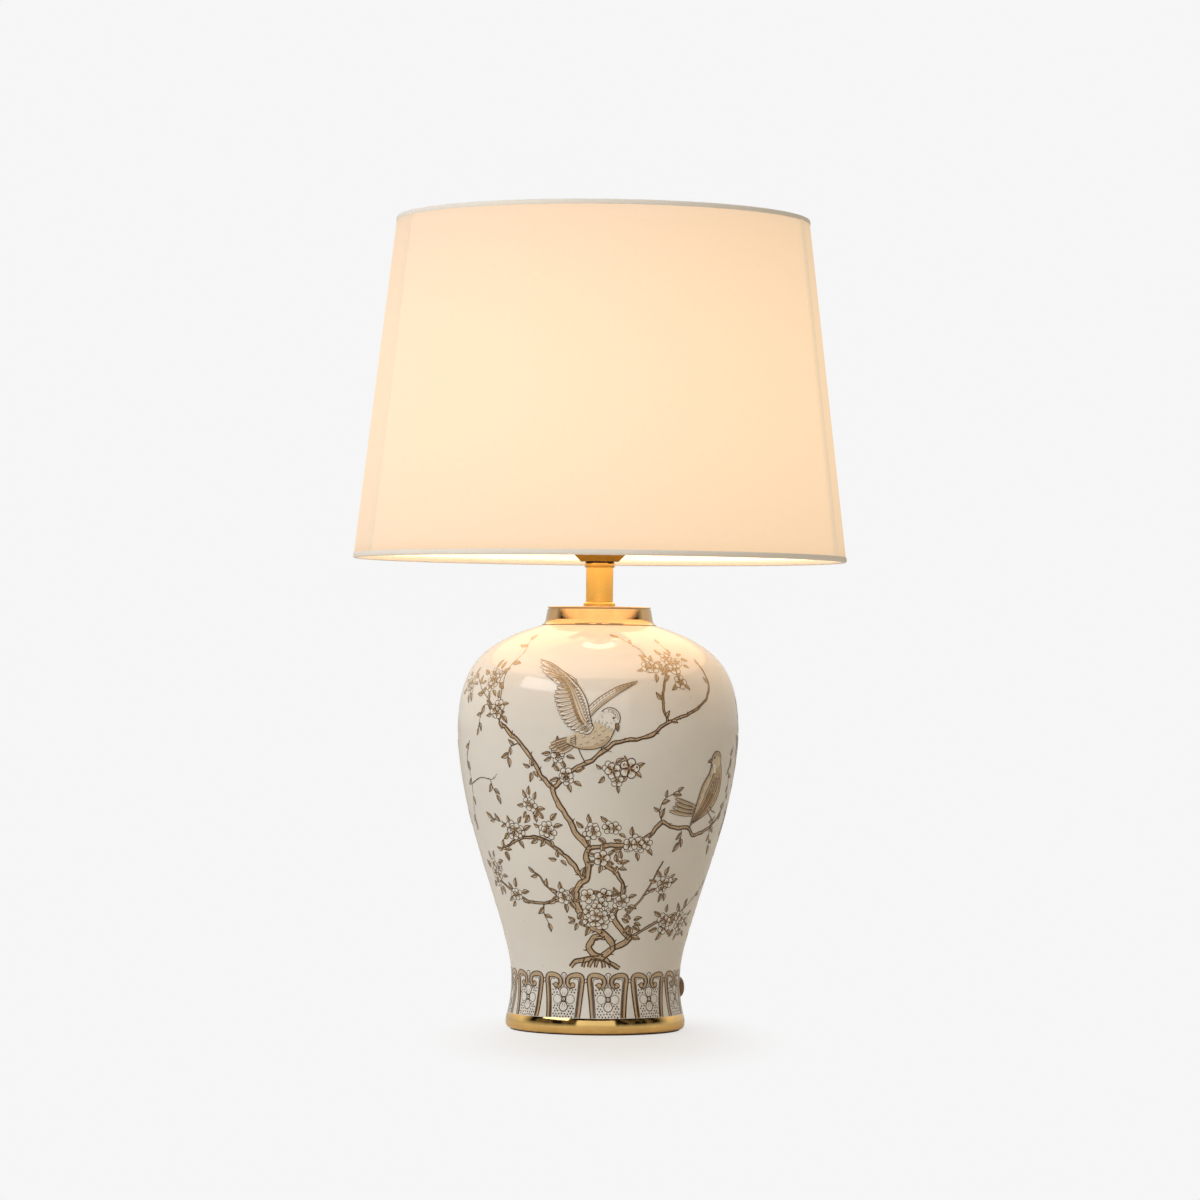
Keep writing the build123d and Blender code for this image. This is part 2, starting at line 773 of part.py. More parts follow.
def cone_sheet(depth, thickness, start, sweep_angle):
    """Return a strip of a conical sheet whose outer face lies depth inside the fabric's face."""
    with BuildPart(mode=Mode.PRIVATE) as strip:
        with BuildSketch(Plane.XZ):
            with BuildLine():
                Polyline(
                    (sheet_radius(z_sheet_low) - depth, z_sheet_low),
                    (sheet_radius(z_sheet_high) - depth, z_sheet_high),
                    (sheet_radius(z_sheet_high) - depth - thickness, z_sheet_high),
                    (sheet_radius(z_sheet_low) - depth - thickness, z_sheet_low),
                    close=True,
                )
            make_face()
        revolve(axis=Axis.Z, revolution_arc=sweep_angle)
    return strip.part.rotate(Axis.Z, start)


# Angles run from +X, so the front is at 270 degrees
seam_share = degrees(seam_gap / shade_bottom_radius)
front_start = 270 - seam_angle_left + seam_share / 2
front_sweep = seam_angle_left + seam_angle_right - seam_share
back_start = 270 + seam_angle_right + seam_share / 2
back_sweep = 360 - seam_angle_left - seam_angle_right - seam_share

with BuildPart() as shade_panel_front:
    add(cone_sheet(0, fabric_thickness, front_start, front_sweep))

with BuildPart() as shade_panel_back:
    add(cone_sheet(0, fabric_thickness, back_start, back_sweep))

with BuildPart() as shade_lining:
    add(cone_sheet(fabric_thickness + laminate_gap, lining_thickness, 0, 360))

# Each spider arm reaches the top ring through a notch in the trim
arm_top = (top_ring, 0, z_top_ring)
arm_slope = (arm_rise, 0, z_top_ring - z_seat - hub_thickness / 2)
with BuildPart() as arm_notch:
    with BuildSketch(Plane(origin=arm_top, z_dir=arm_slope)):
        Circle(ring_wire_radius + turned_gap)
    extrude(amount=-trim_radius * 2)

with BuildPart() as shade_trim_top:
    with BuildSketch(Plane.XZ):
        with Locations((top_ring, z_top_ring)):
            Circle(trim_radius)
            Circle(trim_radius - trim_wall, mode=Mode.SUBTRACT)
    revolve(axis=Axis.Z)
    with PolarLocations(0, 3, start_angle=90):
        add(arm_notch.part, mode=Mode.SUBTRACT)

with BuildPart() as shade_trim_bottom:
    with BuildSketch(Plane.XZ):
        with Locations((bottom_ring, z_bottom_ring)):
            Circle(trim_radius)
            Circle(trim_radius - trim_wall, mode=Mode.SUBTRACT)
    revolve(axis=Axis.Z)

with BuildPart() as shade_lower_ring:
    with BuildSketch(Plane.XZ):
        with Locations((bottom_ring, z_bottom_ring)):
            Circle(ring_wire_radius)
    revolve(axis=Axis.Z)

with BuildPart() as spider_arm:
    with BuildLine(Plane.XZ) as arm_path:
        FilletPolyline(
            (hub_radius - 3, z_seat + hub_thickness / 2),
            (top_ring - arm_rise, z_seat + hub_thickness / 2),
            (top_ring, z_top_ring),
            radius=arm_bend,
        )
    with BuildSketch(Plane(origin=arm_path.wire() @ 0, z_dir=arm_path.wire() % 0)):
        Circle(ring_wire_radius)
    sweep(path=arm_path.wire())

with BuildPart() as shade_spider:
    with BuildSketch(Plane.XZ):
        with Locations((top_ring, z_top_ring)):
            Circle(ring_wire_radius)
    revolve(axis=Axis.Z)
    with BuildSketch(Plane.XY.offset(z_seat)):
        Circle(hub_radius)
    extrude(amount=hub_thickness)
    with PolarLocations(0, 3, start_angle=90):
        add(spider_arm.part)
    with BuildSketch(Plane.XY.offset(z_seat)):
        Circle(stud_radius + slip_gap)
    extrude(amount=hub_thickness, mode=Mode.SUBTRACT)

# Finial

z_ball = z_hub + finial_height - finial_ball_radius
ball_join = (finial_ball_radius ** 2 - finial_neck_radius ** 2) ** 0.5
with BuildPart() as finial:
    with BuildSketch(Plane.XZ):
        with BuildLine():
            Polyline(
                (0, z_hub + finial_height),
                (0, z_hub),
                (finial_foot_radius, z_hub),
                (finial_foot_radius, z_hub + finial_foot_height * 0.5),
                (finial_neck_radius, z_hub + finial_foot_height),
                (finial_neck_radius, z_ball - ball_join),
            )
            RadiusArc(
                (finial_neck_radius, z_ball - ball_join),
                (0, z_hub + finial_height),
                -finial_ball_radius,
            )
        make_face()
    revolve(axis=Axis.Z)
    with BuildSketch(Plane.XY.offset(z_hub)):
        Circle(stud_radius + turned_gap)
    extrude(amount=stud_length - hub_thickness + slip_gap, mode=Mode.SUBTRACT)

pieces = {
    "base_felt": base_felt,
    "base_plinth": base_plinth,
    "base_washer": base_washer,
    "base_nut": base_nut,
    "lamp_pipe": lamp_pipe,
    "ceramic_jar": ceramic_jar,
    "cord_gland": cord_gland,
    "cord_gland_nut": cord_gland_nut,
    "vase_cap": vase_cap,
    "neck_collar_lower": neck_collar_lower,
    "neck_tube": neck_tube,
    "neck_collar_upper": neck_collar_upper,
    "saddle_washer": saddle_washer,
    "harp_saddle": harp_saddle,
    "socket_cap": socket_cap,
    "socket_shell": socket_shell,
    "socket_sleeve": socket_sleeve,
    "socket_interior": socket_interior,
    "terminal_screws": terminal_screws,
    "screw_shell": screw_shell,
    "centre_contact": centre_contact,
    "switch_shaft": switch_shaft,
    "switch_knob": switch_knob,
    "bulb_contact": bulb_contact,
    "bulb_insulator": bulb_insulator,
    "bulb_cap": bulb_cap,
    "bulb_glass": bulb_glass,
    "harp_wire": harp_wire,
    "harp_stud": harp_stud,
    "harp_ferrule_right": harp_ferrule_right,
    "harp_ferrule_left": harp_ferrule_left,
    "shade_spider": shade_spider,
    "shade_lower_ring": shade_lower_ring,
    "shade_lining": shade_lining,
    "shade_panel_front": shade_panel_front,
    "shade_panel_back": shade_panel_back,
    "shade_trim_top": shade_trim_top,
    "shade_trim_bottom": shade_trim_bottom,
    "finial": finial,
}
for name, piece in pieces.items():
    piece.part.label = name
    export_step(piece.part, f"parts/{name}.step")
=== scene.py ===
import logging
import math
from dataclasses import dataclass, field
from enum import Enum
from typing import Optional, Sequence, Union

import bpy
import numpy as np
from mathutils import Matrix, Vector


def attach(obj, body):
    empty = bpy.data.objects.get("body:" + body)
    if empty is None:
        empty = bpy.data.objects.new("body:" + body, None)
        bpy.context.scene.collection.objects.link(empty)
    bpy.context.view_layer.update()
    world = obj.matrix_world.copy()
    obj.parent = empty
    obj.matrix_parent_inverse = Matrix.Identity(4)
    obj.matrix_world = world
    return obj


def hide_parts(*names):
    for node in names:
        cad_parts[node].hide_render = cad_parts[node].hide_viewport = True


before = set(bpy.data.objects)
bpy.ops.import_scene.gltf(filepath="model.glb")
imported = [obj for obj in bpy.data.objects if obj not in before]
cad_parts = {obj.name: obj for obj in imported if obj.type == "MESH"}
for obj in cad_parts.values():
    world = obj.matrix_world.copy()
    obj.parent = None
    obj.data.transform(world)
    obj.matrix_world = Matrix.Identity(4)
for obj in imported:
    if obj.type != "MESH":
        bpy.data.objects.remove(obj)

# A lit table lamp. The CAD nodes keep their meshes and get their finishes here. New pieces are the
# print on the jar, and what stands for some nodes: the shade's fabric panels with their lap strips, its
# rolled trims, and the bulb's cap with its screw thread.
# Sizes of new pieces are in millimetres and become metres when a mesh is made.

LOG = logging.getLogger("table_lamp")
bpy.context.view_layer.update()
MM = 0.001

Array = np.ndarray
Point = tuple[float, float]
Triple = tuple[float, float, float]
Colour = tuple[float, float, float, float]
Piece = bpy.types.Object
Socket = bpy.types.NodeSocket
SocketValue = Union[Socket, float, Sequence[float]]
Inputs = dict[Union[str, int], SocketValue]

BLACK: Colour = (0.0, 0.0, 0.0, 1.0)
GLAZE_ROUGHNESS = 0.06
GLAZE_IOR = 1.58


def srgb(red: float, green: float, blue: float) -> Colour:
    """Return a linear colour from screen values of 0 to 255.

    A share c of 255 becomes c / 12.92 up to 0.04045, and ((c + 0.055) / 1.055)^2.4 above it.

    Args:
        red: Red value on the screen.
        green: Green value on the screen.
        blue: Blue value on the screen.

    Returns:
        The linear colour, opaque.
    """
    parts = [c / 255.0 for c in (red, green, blue)]
    linear = [c / 12.92 if c <= 0.04045 else ((c + 0.055) / 1.055) ** 2.4 for c in parts]
    return (linear[0], linear[1], linear[2], 1.0)


def bezier(*handles: Point, count: int) -> Array:
    """Sample a Bezier curve: the sum of C(n, i) t^i (1 - t)^(n - i) times each handle.

    Args:
        handles: Control points of the curve.
        count: Number of samples.

    Returns:
        Points on the curve, (count, 2).
    """
    degree = len(handles) - 1
    t = np.linspace(0.0, 1.0, count)[:, None]
    i = np.arange(degree + 1)[None, :]
    choose = np.array([math.comb(degree, k) for k in range(degree + 1)])[None, :]
    return (choose * t**i * (1.0 - t) ** (degree - i)) @ np.array(handles, float)


def spline(points: Sequence[Point], count: int) -> Array:
    """Sample a Catmull-Rom curve through points, spaced evenly along its chords.

    Args:
        points: Points to pass through, (n, k).
        count: Number of samples.

    Returns:
        Points on the curve, (count, k).
    """
    points = np.asarray(points, float)
    chord = np.concatenate([[0.0], np.cumsum(np.linalg.norm(np.diff(points, axis=0), axis=1))])
    t = np.interp(np.linspace(0.0, chord[-1], count), chord, np.arange(len(points)))
    i = np.minimum(t.astype(int), len(points) - 2)
    f = (t - i)[:, None]
    ends = np.vstack([2 * points[0] - points[1], points, 2 * points[-1] - points[-2]])
    p0, p1, p2, p3 = ends[i], ends[i + 1], ends[i + 2], ends[i + 3]
    cubic = 2 * p1 + (p2 - p0) * f + (2 * p0 - 5 * p1 + 4 * p2 - p3) * f**2
    return 0.5 * (cubic + (3 * p1 - p0 - 3 * p2 + p3) * f**3)


def turns(count: int) -> Array:
    """Return angles that share a full turn evenly, from 0, in radians."""
    return np.arange(count) * 2.0 * np.pi / count


def on_circle(angle: Union[float, Array]) -> Array:
    """Return the places (cos a, sin a) on a circle of radius 1, with a last axis of 2."""
    return np.stack([np.cos(angle), np.sin(angle)], axis=-1)


def round_axis(radius: Array, angle: Array, height: Array) -> Array:
    """Return the places (r sin a, -r cos a, z) round the Z axis, with a = 0 at the front.

    Args:
        radius: Distances from the axis.
        angle: Angles from the front towards +X, in radians.
        height: Heights.

    Returns:
        Places in the shape that the three share, with a last axis of 3.
    """
    axes = (radius * np.sin(angle), -radius * np.cos(angle), height)
    return np.stack(np.broadcast_arrays(*axes), axis=-1)


def grid_faces(rows: int, cols: int, wrap_rows: bool = False, wrap_cols: bool = False) -> Array:
    """Return the quads of a grid of points, row by row.

    Args:
        rows: Number of rows of points.
        cols: Number of points in a row.
        wrap_rows: Join the last row to the first.
        wrap_cols: Join the last point of each row to its first.

    Returns:
        Point numbers of the quads, (n, 4).
    """
    i, j = np.meshgrid(
        np.arange(rows if wrap_rows else rows - 1),
        np.arange(cols if wrap_cols else cols - 1),
        indexing="ij",
    )
    up, right = (i + 1) % rows, (j + 1) % cols
    corners = [i * cols + j, i * cols + right, up * cols + right, up * cols + j]
    return np.stack(corners, axis=-1).reshape(-1, 4)


def make_piece(
    name: str, points: Array, faces: Array, finish: "Finish", body: str, uv: Optional[Array] = None
) -> Piece:
    """Make a smooth mesh object at the origin that rides on a CAD body.

    Args:
        name: Name of the piece.
        points: Places in millimetres, (n, 3).
        faces: Point numbers of the quads, (m, 4).
        finish: Finish of the piece.
        body: Name of the CAD body that carries it.
        uv: Flat places of the points, in metres, for a pattern that follows the surface.

    Returns:
        The new object.
    """
    mesh = bpy.data.meshes.new(name)
    mesh.from_pydata((points.reshape(-1, 3) * MM).tolist(), [], faces.tolist())
    mesh.polygons.foreach_set("use_smooth", np.ones(len(mesh.polygons), bool))
    if uv is not None:
        corner = np.empty(len(mesh.loops), int)
        mesh.loops.foreach_get("vertex_index", corner)
        layer = mesh.uv_layers.new(name=NodeGraph.CLOTH)
        layer.data.foreach_set("uv", uv.reshape(-1, 2)[corner].ravel())
    mesh.materials.append(finish.material())
    mesh.update()
    piece = bpy.data.objects.new(name, mesh)
    bpy.context.scene.collection.objects.link(piece)
    LOG.info("%s: %d faces on %s", name, len(mesh.polygons), body)
    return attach(piece, body)


class NodeGraph:
    """A short way to add and join the nodes of a material or the world."""

    CLOTH = "cloth"
    MIX_SHARE, MIX_FIRST, MIX_SECOND, MIX_RESULT = 0, 6, 7, 2

    def __init__(self, tree: bpy.types.NodeTree) -> None:
        """Start with an empty tree."""
        self.tree = tree
        self.tree.nodes.clear()

    def add(self, kind: str, inputs: Optional[Inputs] = None, **settings: object) -> bpy.types.Node:
        """Add a node.

        Args:
            kind: Type name of the node.
            inputs: Values of its inputs, or sockets to join to them.
            settings: Other properties of the node.

        Returns:
            The new node.
        """
        node = self.tree.nodes.new(kind)
        for key, setting in settings.items():
            setattr(node, key, setting)
        for key, value in (inputs or {}).items():
            if isinstance(value, Socket):
                self.tree.links.new(value, node.inputs[key])
            else:
                node.inputs[key].default_value = value
        return node

    def stretched(self, where: Socket, stretch: Triple) -> Socket:
        """Return a place stretched along its axes."""
        return self.add("ShaderNodeMapping", {"Vector": where, "Scale": stretch}).outputs["Vector"]

    def place(self, stretch: Triple = (1.0, 1.0, 1.0)) -> Socket:
        """Return the place on the piece, stretched along its axes."""
        return self.stretched(self.add("ShaderNodeTexCoord").outputs["Object"], stretch)

    def cloth(self, stretch: Triple) -> Socket:
        """Return the flat place on a cloth, stretched along its threads."""
        return self.stretched(self.add("ShaderNodeUVMap", uv_map=self.CLOTH).outputs["UV"], stretch)

    def axes(self, where: Socket) -> bpy.types.NodeOutputs:
        """Return a place's X, Y and Z."""
        return self.add("ShaderNodeSeparateXYZ", {"Vector": where}).outputs

    def noise(self, where: Socket, scale: float, detail: float = 3.0) -> Socket:
        """Return a cloudy value from 0 to 1."""
        inputs = {"Vector": where, "Scale": scale, "Detail": detail}
        return self.add("ShaderNodeTexNoise", inputs).outputs["Fac"]

    def spread(
        self, value: Socket, low: float, high: float, start: float = 0.3, end: float = 0.7
    ) -> Socket:
        """Return value mapped from start..end to low..high."""
        inputs = {"Value": value, "From Min": start, "From Max": end, "To Min": low, "To Max": high}
        return self.add("ShaderNodeMapRange", inputs).outputs["Result"]

    def within(self, value: Socket, middle: float, half: float, soft: float) -> Socket:
        """Return 1 where value is within half of the middle, fading to 0 over a soft edge."""
        off = self.maths("ABSOLUTE", self.maths("SUBTRACT", value, middle))
        return self.spread(off, 1.0, 0.0, half, half + soft)

    def mix(self, share: SocketValue, first: SocketValue, second: SocketValue) -> Socket:
        """Return first and second mixed as colours by share."""
        inputs = {self.MIX_SHARE: share, self.MIX_FIRST: first, self.MIX_SECOND: second}
        return self.add("ShaderNodeMix", inputs, data_type="RGBA").outputs[self.MIX_RESULT]

    def maths(self, work: str, first: SocketValue, second: SocketValue = 0.0) -> Socket:
        """Return the result of a sum on one or two values."""
        return self.add("ShaderNodeMath", {0: first, 1: second}, operation=work).outputs["Value"]

    def vector(self, work: str, first: Socket, second: Triple) -> Socket:
        """Return the result of a sum on two places."""
        return self.add("ShaderNodeVectorMath", {0: first, 1: second}, operation=work).outputs[0]

    def bump(self, height: Socket, depth: float, strength: float) -> Socket:
        """Return a normal for a relief of some depth in metres."""
        inputs = {"Height": height, "Distance": depth, "Strength": strength}
        return self.add("ShaderNodeBump", inputs).outputs["Normal"]

    def seen(self, path: bpy.types.Node) -> Socket:
        """Return 1 for what the camera sees, straight or through glass."""
        return self.maths("MAXIMUM", path.outputs["Is Camera Ray"], path.outputs["Is Transmission Ray"])


@dataclass(frozen=True)
class Finish:
    """A finish that makes its material once."""

    name: str
    colour: Colour

    def material(self) -> bpy.types.Material:
        """Return the material of this finish."""
        return bpy.data.materials.get(self.name) or self._make()

    def _make(self) -> bpy.types.Material:
        """Build the material: a single shader with the inputs of the finish.

        Returns:
            The new material.
        """
        material = bpy.data.materials.new(self.name)
        material.use_nodes = True
        graph = NodeGraph(material.node_tree)
        shader = graph.add("ShaderNodeBsdfPrincipled", self.inputs(graph))
        graph.add("ShaderNodeOutputMaterial", {"Surface": shader.outputs["BSDF"]})
        return material

    def inputs(self, graph: NodeGraph) -> Inputs:
        """Return the inputs of the finish's shader."""
        raise NotImplementedError

    def tones(self, dark: float, light: float) -> tuple[Colour, Colour]:
        """Return a darker and a lighter tone of the colour."""
        low, high = ([min(1.0, c * k) for c in self.colour[:3]] for k in (dark, light))
        return (low[0], low[1], low[2], 1.0), (high[0], high[1], high[2], 1.0)


@dataclass(frozen=True)
class MetalFinish(Finish):
    """Polished or brushed metal with faint tarnish and fine scratches."""

    roughness: float
    tarnish: float = 0.75
    bright: float = 1.05
    cloud_scale: float = 38.0
    mark_scale: float = 260.0
    mark_stretch: Triple = (1.0, 1.0, 9.0)
    mark_gloss: Point = (0.75, 1.35)
    relief: float = 0.00002

    def inputs(self, graph: NodeGraph) -> Inputs:
        """Cloudy tarnish tints the metal, and fine marks change its gloss.

        Args:
            graph: The material's nodes.

        Returns:
            Inputs of the shader.
        """
        dark, light = self.tones(self.tarnish, self.bright)
        clouds = graph.spread(graph.noise(graph.place(), self.cloud_scale, 4.0), 0.0, 1.0)
        marks = graph.noise(graph.place(self.mark_stretch), self.mark_scale, 5.0)
        low, high = (self.roughness * share for share in self.mark_gloss)
        return {
            "Base Color": graph.mix(clouds, light, dark),
            "Metallic": 1.0,
            "Roughness": graph.spread(marks, low, high),
            "Normal": graph.bump(marks, self.relief, 0.35),
        }


@dataclass(frozen=True)
class GlazeFinish(Finish):
    """Glossy glaze over ceramic, a little uneven, with a few fine specks."""

    cloud_scale: float = 14.0
    cloud_tones: Point = (0.94, 1.02)
    speck_scale: float = 420.0
    speck_from: float = 0.80
    speck_to: float = 0.84
    speck_share: float = 0.7
    speck_colour: Colour = srgb(120, 100, 75)
    wave_scale: float = 26.0
    wave_depth: float = 0.0004

    def inputs(self, graph: NodeGraph) -> Inputs:
        """Soft clouds and rare specks in the colour, and slow waves in the surface.

        Args:
            graph: The material's nodes.

        Returns:
            Inputs of the shader.
        """
        dark, light = self.tones(*self.cloud_tones)
        clouds = graph.spread(graph.noise(graph.place(), self.cloud_scale), 0.0, 1.0)
        body = graph.mix(clouds, dark, light)
        grain = graph.noise(graph.place(), self.speck_scale, 1.0)
        specks = graph.spread(grain, 0.0, self.speck_share, self.speck_from, self.speck_to)
        waves = graph.noise(graph.place(), self.wave_scale, 1.0)
        return {
            "Base Color": graph.mix(specks, body, self.speck_colour),
            "Roughness": GLAZE_ROUGHNESS,
            "IOR": GLAZE_IOR,
            "Normal": graph.bump(waves, self.wave_depth, 0.12),
        }


@dataclass(frozen=True)
class InkFinish(Finish):
    """Printed colour under the glaze, thicker and thinner as a hand print is, and paler on the shoulder as
    painted glare.
    """

    deep: float
    pale: float
    painted_glare: Colour = srgb(182, 154, 112)
    glare_share: float = 0.0
    glare_from: float = 0.222
    glare_to: float = 0.272
    cloud_scales: Point = (90.0, 900.0)
    cloud_from: float = 0.15
    cloud_to: float = 0.36

    def inputs(self, graph: NodeGraph) -> Inputs:
        """Two sizes of clouds thin the colour, and a painted glare fades it to a golden tone with height.

        Args:
            graph: The material's nodes.

        Returns:
            Inputs of the shader.
        """
        dark, light = self.tones(self.deep, self.pale)
        clouds = [graph.noise(graph.place(), scale) for scale in self.cloud_scales]
        thin = graph.spread(graph.maths("MULTIPLY", *clouds), 0.0, 1.0, self.cloud_from, self.cloud_to)
        height = graph.axes(graph.place())["Z"]
        # Painted glare: the ink pales to a golden tone towards the top of the shoulder, where the lamp's
        # light washes it out.
        painted_glare = graph.spread(height, 0.0, self.glare_share, self.glare_from, self.glare_to)
        return {
            "Base Color": graph.mix(painted_glare, graph.mix(thin, dark, light), self.painted_glare),
            "Roughness": GLAZE_ROUGHNESS,
            "IOR": GLAZE_IOR,
        }


@dataclass(frozen=True)
class FabricFinish(Finish):
    """Woven shade fabric that glows from the lamp behind it, most at the bulb's height."""

    glow: Colour
    bulb_height: float = 0.455
    half_height: float = 0.125
    falloff: float = 0.16
    weft: Triple = (160.0, 2400.0, 1.0)
    warp: Triple = (2400.0, 140.0, 1.0)
    slub_from: float = 0.75
    slub_to: float = 1.25
    slub_tones: Point = (0.96, 1.02)
    slub_glow: Point = (0.982, 1.018)
    relief: float = 0.00012

    def inputs(self, graph: NodeGraph) -> Inputs:
        """Slubs along both threads vary colour, glow and relief; glow is 1 - falloff (dz / half)^2.

        Args:
            graph: The material's nodes.

        Returns:
            Inputs of the shader.
        """
        threads = [graph.noise(graph.cloth(stretch), 1.0, 2.0) for stretch in (self.weft, self.warp)]
        weave = graph.maths("ADD", *threads)
        slubs = graph.spread(weave, 0.0, 1.0, self.slub_from, self.slub_to)
        above = graph.maths("SUBTRACT", graph.axes(graph.place())["Z"], self.bulb_height)
        off = graph.maths("DIVIDE", above, self.half_height)
        lost = graph.maths("MULTIPLY", graph.maths("MULTIPLY", off, off), self.falloff)
        level = graph.maths("SUBTRACT", 1.0, lost)
        shine = graph.maths("MULTIPLY", level, graph.spread(slubs, *self.slub_glow, 0.0, 1.0))
        return {
            "Base Color": graph.mix(slubs, *self.tones(*self.slub_tones)),
            "Roughness": 0.9,
            "Sheen Weight": 0.25,
            "Sheen Roughness": 0.5,
            "Emission Color": graph.mix(shine, BLACK, self.glow),
            "Emission Strength": 1.0,
            "Normal": graph.bump(weave, self.relief, 0.4),
        }


@dataclass(frozen=True)
class TapeFinish(Finish):
    """Ribbed cotton tape."""

    ribs: Triple = (1400.0, 120.0, 1.0)
    rib_tones: Point = (0.93, 1.03)
    relief: float = 0.00015

    def inputs(self, graph: NodeGraph) -> Inputs:
        """Fine ribs across the tape and a cloudy tint.

        Args:
            graph: The material's nodes.

        Returns:
            Inputs of the shader.
        """
        ribs = graph.noise(graph.cloth(self.ribs), 1.0, 2.0)
        return {
            "Base Color": graph.mix(graph.spread(ribs, 0.0, 1.0), *self.tones(*self.rib_tones)),
            "Roughness": 0.85,
            "Sheen Weight": 0.2,
            "Normal": graph.bump(ribs, self.relief, 0.4),
        }


@dataclass(frozen=True)
class GlowFinish(Finish):
    """A surface lit so strongly from the bulb that it shines: the lining or the opal bulb."""

    strength: float
    roughness: float
    cloud_scale: float = 60.0
    cloud_tones: Point = (0.93, 1.0)
    sheet_dark: Colour = srgb(236, 226, 205)
    sheet_light: Colour = srgb(244, 238, 224)

    def inputs(self, graph: NodeGraph) -> Inputs:
        """A soft cloudy glow over a pale sheet.

        Args:
            graph: The material's nodes.

        Returns:
            Inputs of the shader.
        """
        clouds = graph.spread(graph.noise(graph.place(), self.cloud_scale), 0.0, 1.0)
        return {
            "Base Color": graph.mix(clouds, self.sheet_dark, self.sheet_light),
            "Roughness": self.roughness,
            "Emission Color": graph.mix(clouds, *self.tones(*self.cloud_tones)),
            "Emission Strength": self.strength,
        }


@dataclass(frozen=True)
class MouldedFinish(Finish):
    """Moulded plastic, fibre or felt, with a grain of its own."""

    roughness: float
    grain: float = 700.0
    relief: float = 0.00005
    contrast: float = 0.18
    gloss: Point = (0.8, 1.2)

    def inputs(self, graph: NodeGraph) -> Inputs:
        """A fine grain in colour, gloss and relief.

        Args:
            graph: The material's nodes.

        Returns:
            Inputs of the shader.
        """
        grain = graph.noise(graph.place(), self.grain)
        dark, light = self.tones(1.0 - self.contrast, 1.0 + self.contrast)
        low, high = (min(1.0, self.roughness * share) for share in self.gloss)
        return {
            "Base Color": graph.mix(graph.spread(grain, 0.0, 1.0), dark, light),
            "Roughness": graph.spread(grain, low, high),
            "Normal": graph.bump(grain, self.relief, 0.6),
        }


class Ink(Enum):
    """The colours of the print, from the lowest layer to the highest."""

    # The last keyword of BARK, LEAF and LINE sets how far each ink pales into the painted glare on the upper
    # shoulder.
    BARK = InkFinish("print_bark", srgb(182, 159, 128), deep=0.88, pale=1.12, glare_share=0.5)
    LEAF = InkFinish(
        "print_leaf", srgb(134, 106, 72), deep=0.8, pale=1.3, painted_glare=srgb(206, 184, 146), glare_share=0.95
    )
    WASH = InkFinish("print_wash", srgb(200, 185, 160), deep=0.9, pale=1.12)
    WHITE = InkFinish("print_white", srgb(219, 216, 209), deep=0.97, pale=1.02)
    LINE = InkFinish("print_line", srgb(72, 43, 8), deep=0.75, pale=1.35, glare_share=0.84)


BRASS = MetalFinish("brass_polished", (0.92, 0.67, 0.29, 1.0), roughness=0.07, tarnish=0.88)
BRASS_BASE = MetalFinish("brass_base", (0.86, 0.58, 0.22, 1.0), roughness=0.05, tarnish=0.8)
# The cap's brass is a darker copy of the polished brass, as painted shade that tones down the bright lining
# it mirrors.
BRASS_CAP = MetalFinish("brass_cap", (0.60, 0.40, 0.20, 1.0), roughness=0.07, tarnish=0.88)
BRASS_SATIN = MetalFinish("brass_satin", (0.88, 0.61, 0.23, 1.0), roughness=0.2, tarnish=0.92)
BRASS_NECK = MetalFinish("brass_neck", (0.90, 0.55, 0.14, 1.0), roughness=0.34, tarnish=0.94)
# The upper collar's brass is a darker copy of the neck's, as painted shade.
BRASS_COLLAR = MetalFinish("brass_collar", (0.64, 0.37, 0.085, 1.0), roughness=0.28, tarnish=0.9)
# Painted shade: brass darkened to a dim brown on the harp saddle and the socket cap.
BRASS_SHADED = MetalFinish("brass_painted_shade", (0.25, 0.13, 0.02, 1.0), roughness=0.36, tarnish=0.8)
STEEL = MetalFinish("steel_plated", srgb(190, 190, 192), roughness=0.3, tarnish=0.85)
# Painted shadow: the saddle washer is dark to stand for the shadow gap between the upper collar and the
# saddle.
SHADOW_STEEL = MetalFinish("steel_painted_shadow", srgb(60, 52, 44), roughness=0.4)
ALUMINIUM = MetalFinish("aluminium_rolled", srgb(214, 214, 214), roughness=0.25, tarnish=0.9)
GLAZE = GlazeFinish("glaze_white", srgb(219, 216, 209))
BROWN_PLASTIC = MouldedFinish("plastic_brown", srgb(138, 110, 76), roughness=0.4)
BLACK_PLASTIC = MouldedFinish("plastic_black", srgb(34, 32, 30), roughness=0.35)
FIBRE = MouldedFinish("fibre_sleeve", srgb(160, 132, 98), roughness=0.85, grain=400.0)
FELT = MouldedFinish("felt_pad", srgb(70, 58, 46), roughness=1.0, grain=900.0, relief=0.0003, contrast=0.35)
LINING = GlowFinish("lining_lit", (1.0, 0.685, 0.47, 1.0), strength=1.05, roughness=0.55)
OPAL = GlowFinish("opal_lit", (1.0, 0.78, 0.58, 1.0), strength=4.5, roughness=0.4)
# The shade's cloth carries painted glow: emission standing in for the bulb's light through it, weaker on the
# back panel and on the doubled cloth of the lap strips.
FABRIC = FabricFinish("shade_fabric", (0.22, 0.197, 0.215, 1.0), glow=(0.93, 0.655, 0.388, 1.0))
FABRIC_BACK = FabricFinish("shade_fabric_back", (0.22, 0.197, 0.215, 1.0), glow=(0.87, 0.615, 0.358, 1.0))
FABRIC_LAP = FabricFinish("shade_fabric_lap", (0.28, 0.27, 0.26, 1.0), glow=(0.75, 0.55, 0.345, 1.0))
TRIM = TapeFinish("trim_tape", srgb(238, 232, 223))

